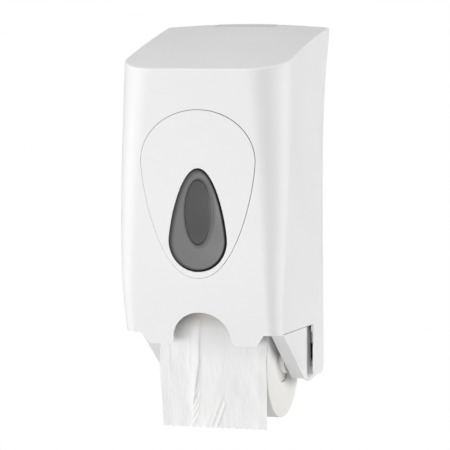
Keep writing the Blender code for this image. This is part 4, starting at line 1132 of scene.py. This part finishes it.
def creaseLift(x, share):
    lift = 0.0
    soft = sheet["creaseFade"]
    for (start, near), (end, far), left, right, height in creases:
        middle = mixed(near, far, clamped((share - start) / (end - start)))
        width = left if x < middle else right
        fade = clamped((share - start) / soft + 0.5) * clamped((end - share) / soft + 0.5)
        lift += height * fade * math.exp(-((x - middle) / width) ** 2)
    return lift


def sheetLift(x, share):
    height, across, along = sheet["broadWave"]
    broad = height * math.sin(x * across + 1.2) * math.sin(share * along + x * 20) * share
    height, across, along = sheet["crumpleWave"]
    rise = clamped(share * sheet["crumpleRise"])
    crumple = height * noise.noise(Vector((x * across, share * along, 0.3))) * rise
    height, across, along = sheet["hairWave"]
    hairs = height * noise.noise(Vector((x * across, share * along, 2.1)))
    return creaseLift(x, share) + broad + crumple + hairs + sheet["drift"] * share


def ragged(x, share):
    growth = clamped((share - sheet["tornStart"]) / (1.0 - sheet["tornStart"]))
    wander = sheet["tornWander"] * noise.noise(Vector((x * sheet["wanderAlong"], 5.0, 0.0)))
    teeth = sheet["tornTeeth"] * abs(math.sin(math.pi * x / sheet["tornPitch"] + wander))
    fray = noise.noise(Vector((x * sheet["frayAlong"], 1.0, 7.0)))
    fray += sheet["fineShare"] * noise.noise(Vector((x * sheet["fineAlong"], 3.0, 7.0)))
    return growth * sheet["tornHeight"] * (sheet["tornBase"] - teeth + sheet["tornFray"] * fray)


def buildSheet():
    rollLow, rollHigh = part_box("lower_roll")
    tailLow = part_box("paper_tail")[0]
    centreY = (rollLow.y + rollHigh.y) / 2
    centreZ = (rollLow.z + rollHigh.z) / 2
    radius = (rollHigh.z - rollLow.z) / 2 + sheet["gap"]
    wrap = radius * math.radians(sheet["wrapDeg"])
    length = wrap + centreZ - tailLow.z
    bm = bmesh.new()
    layers = []
    for thickness in (0.0, sheet["thickness"]):
        grid = []
        for row in range(sheet["rows"] + 1):
            share = row / sheet["rows"]
            travel = length * share
            angle = max(wrap - travel, 0.0) / radius
            hang = max(travel - wrap, 0.0)
            hangShare = hang / (length - wrap)
            wrapShare = (max(wrap - travel, 0.0) / wrap) ** sheet["slackCurve"]
            slack = sheet["slack"] * math.sin(math.pi * wrapShare)
            drawnIn = 1 - sheet["narrow"] * hangShare ** sheet["narrowCurve"]
            line = []
            for column in range(sheet["columns"] + 1):
                flatX = sheet["half"] * (2 * column / sheet["columns"] - 1)
                x = flatX * drawnIn + sheet["lean"] * hangShare
                loose = slack * (1 - abs(flatX / sheet["half"]) ** 3)
                lift = sheetLift(flatX, share) * clamped(share * sheet["liftRise"])
                reach = radius + thickness + loose + lift
                y = centreY - reach * math.cos(angle)
                z = centreZ + reach * math.sin(angle) - hang + ragged(flatX, share)
                line.append(bm.verts.new((x, y, z)))
            grid.append(line)
        layers.append(grid)
    back, front = layers
    rows, columns = sheet["rows"], sheet["columns"]
    for grid in layers:
        for row in range(rows):
            for column in range(columns):
                upper, under = grid[row], grid[row + 1]
                bm.faces.new((upper[column], upper[column + 1], under[column + 1], under[column]))
    rim = [((row, column), (row + 1, column)) for row in range(rows) for column in (0, columns)]
    rim += [((row, column), (row, column + 1)) for column in range(columns) for row in (0, rows)]
    for (row, column), (nextRow, nextColumn) in rim:
        near, far = back[row][column], back[nextRow][nextColumn]
        bm.faces.new((near, far, front[nextRow][nextColumn], front[row][column]))
    piece = makePiece("looseSheet", bm, sheetTissue)
    shadeSmooth(piece, sheet["sharpDeg"])
    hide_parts("paper_tail")
    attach(piece, "lower_carrier")


buildSheet()
print("loose sheet ready")


# Latch springs

springSizes = {"turns": 5, "steps": 24, "sides": 8, "wire": 0.0004, "sharpDeg": 60.0}


def buildSpring(word):
    node = f"{word}_latch_spring"
    low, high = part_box(node)
    centre = (low + high) / 2
    radius = (high.x - low.x) / 2 - springSizes["wire"]
    bm = bmesh.new()
    rings = []
    count = springSizes["turns"] * springSizes["steps"]
    for index in range(count + 1):
        angle = 2 * math.pi * index / springSizes["steps"]
        z = mixed(low.z + springSizes["wire"], high.z - springSizes["wire"], index / count)
        outward = Vector((math.cos(angle), math.sin(angle), 0.0))
        middle = Vector((centre.x, centre.y, z)) + outward * radius
        ring = []
        for side in range(springSizes["sides"]):
            turn = 2 * math.pi * side / springSizes["sides"]
            reach = outward * math.cos(turn) + Vector((0, 0, math.sin(turn)))
            ring.append(bm.verts.new(middle + springSizes["wire"] * reach))
        rings.append(ring)
    bm.faces.new(rings[0])
    bm.faces.new(rings[-1])
    for first, second in zip(rings, rings[1:]):
        bridge(bm, first, second)
    spring = makePiece(f"{word}LatchCoil", bm, springSteel)
    shadeSmooth(spring, springSizes["sharpDeg"])
    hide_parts(node)
    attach(spring, "chassis")
    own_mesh(spring)


for springWord in ("left", "right"):
    buildSpring(springWord)


# Finishes of the pieces that stay as imported

finishes = {
    "back_plate": whiteChassis,
    "latch_housing": whiteChassis,
    "left_rail": whiteChassis,
    "right_rail": whiteChassis,
    "lens_retainer": whiteChassis,
    "latch_bar": latchWhite,
    "lower_spindle": spindleWhite,
    "reserve_spindle": spindleWhite,
    "left_catch": latchWhite,
    "right_catch": latchWhite,
    "lower_core": greyCard,
    "reserve_core": greyCard,
}


def dressNode(node):
    piece = nodes[node]
    material = finishes.get(node, zincSteel)
    piece.data.materials.clear()
    piece.data.materials.append(material)


for nodeName in nodes:
    dressNode(nodeName)
print("finishes set")


# Floor

def buildFloor():
    half = studio["floorHalf"]
    bm = bmesh.new()
    corners = ((-half, -half), (half, -half), (half, half), (-half, half))
    bm.faces.new([bm.verts.new((x, y, studio["floorZ"])) for x, y in corners])
    pale = plastic(
        "paleFloor", light=(0.85, 0.85, 0.85), dark=(0.82, 0.82, 0.82), patch=0.4, rough=(0.6, 0.7),
        grain=0.004, wave=0.2, depth=0.0001,
    )
    makePiece("studioFloor", bm, pale)


buildFloor()
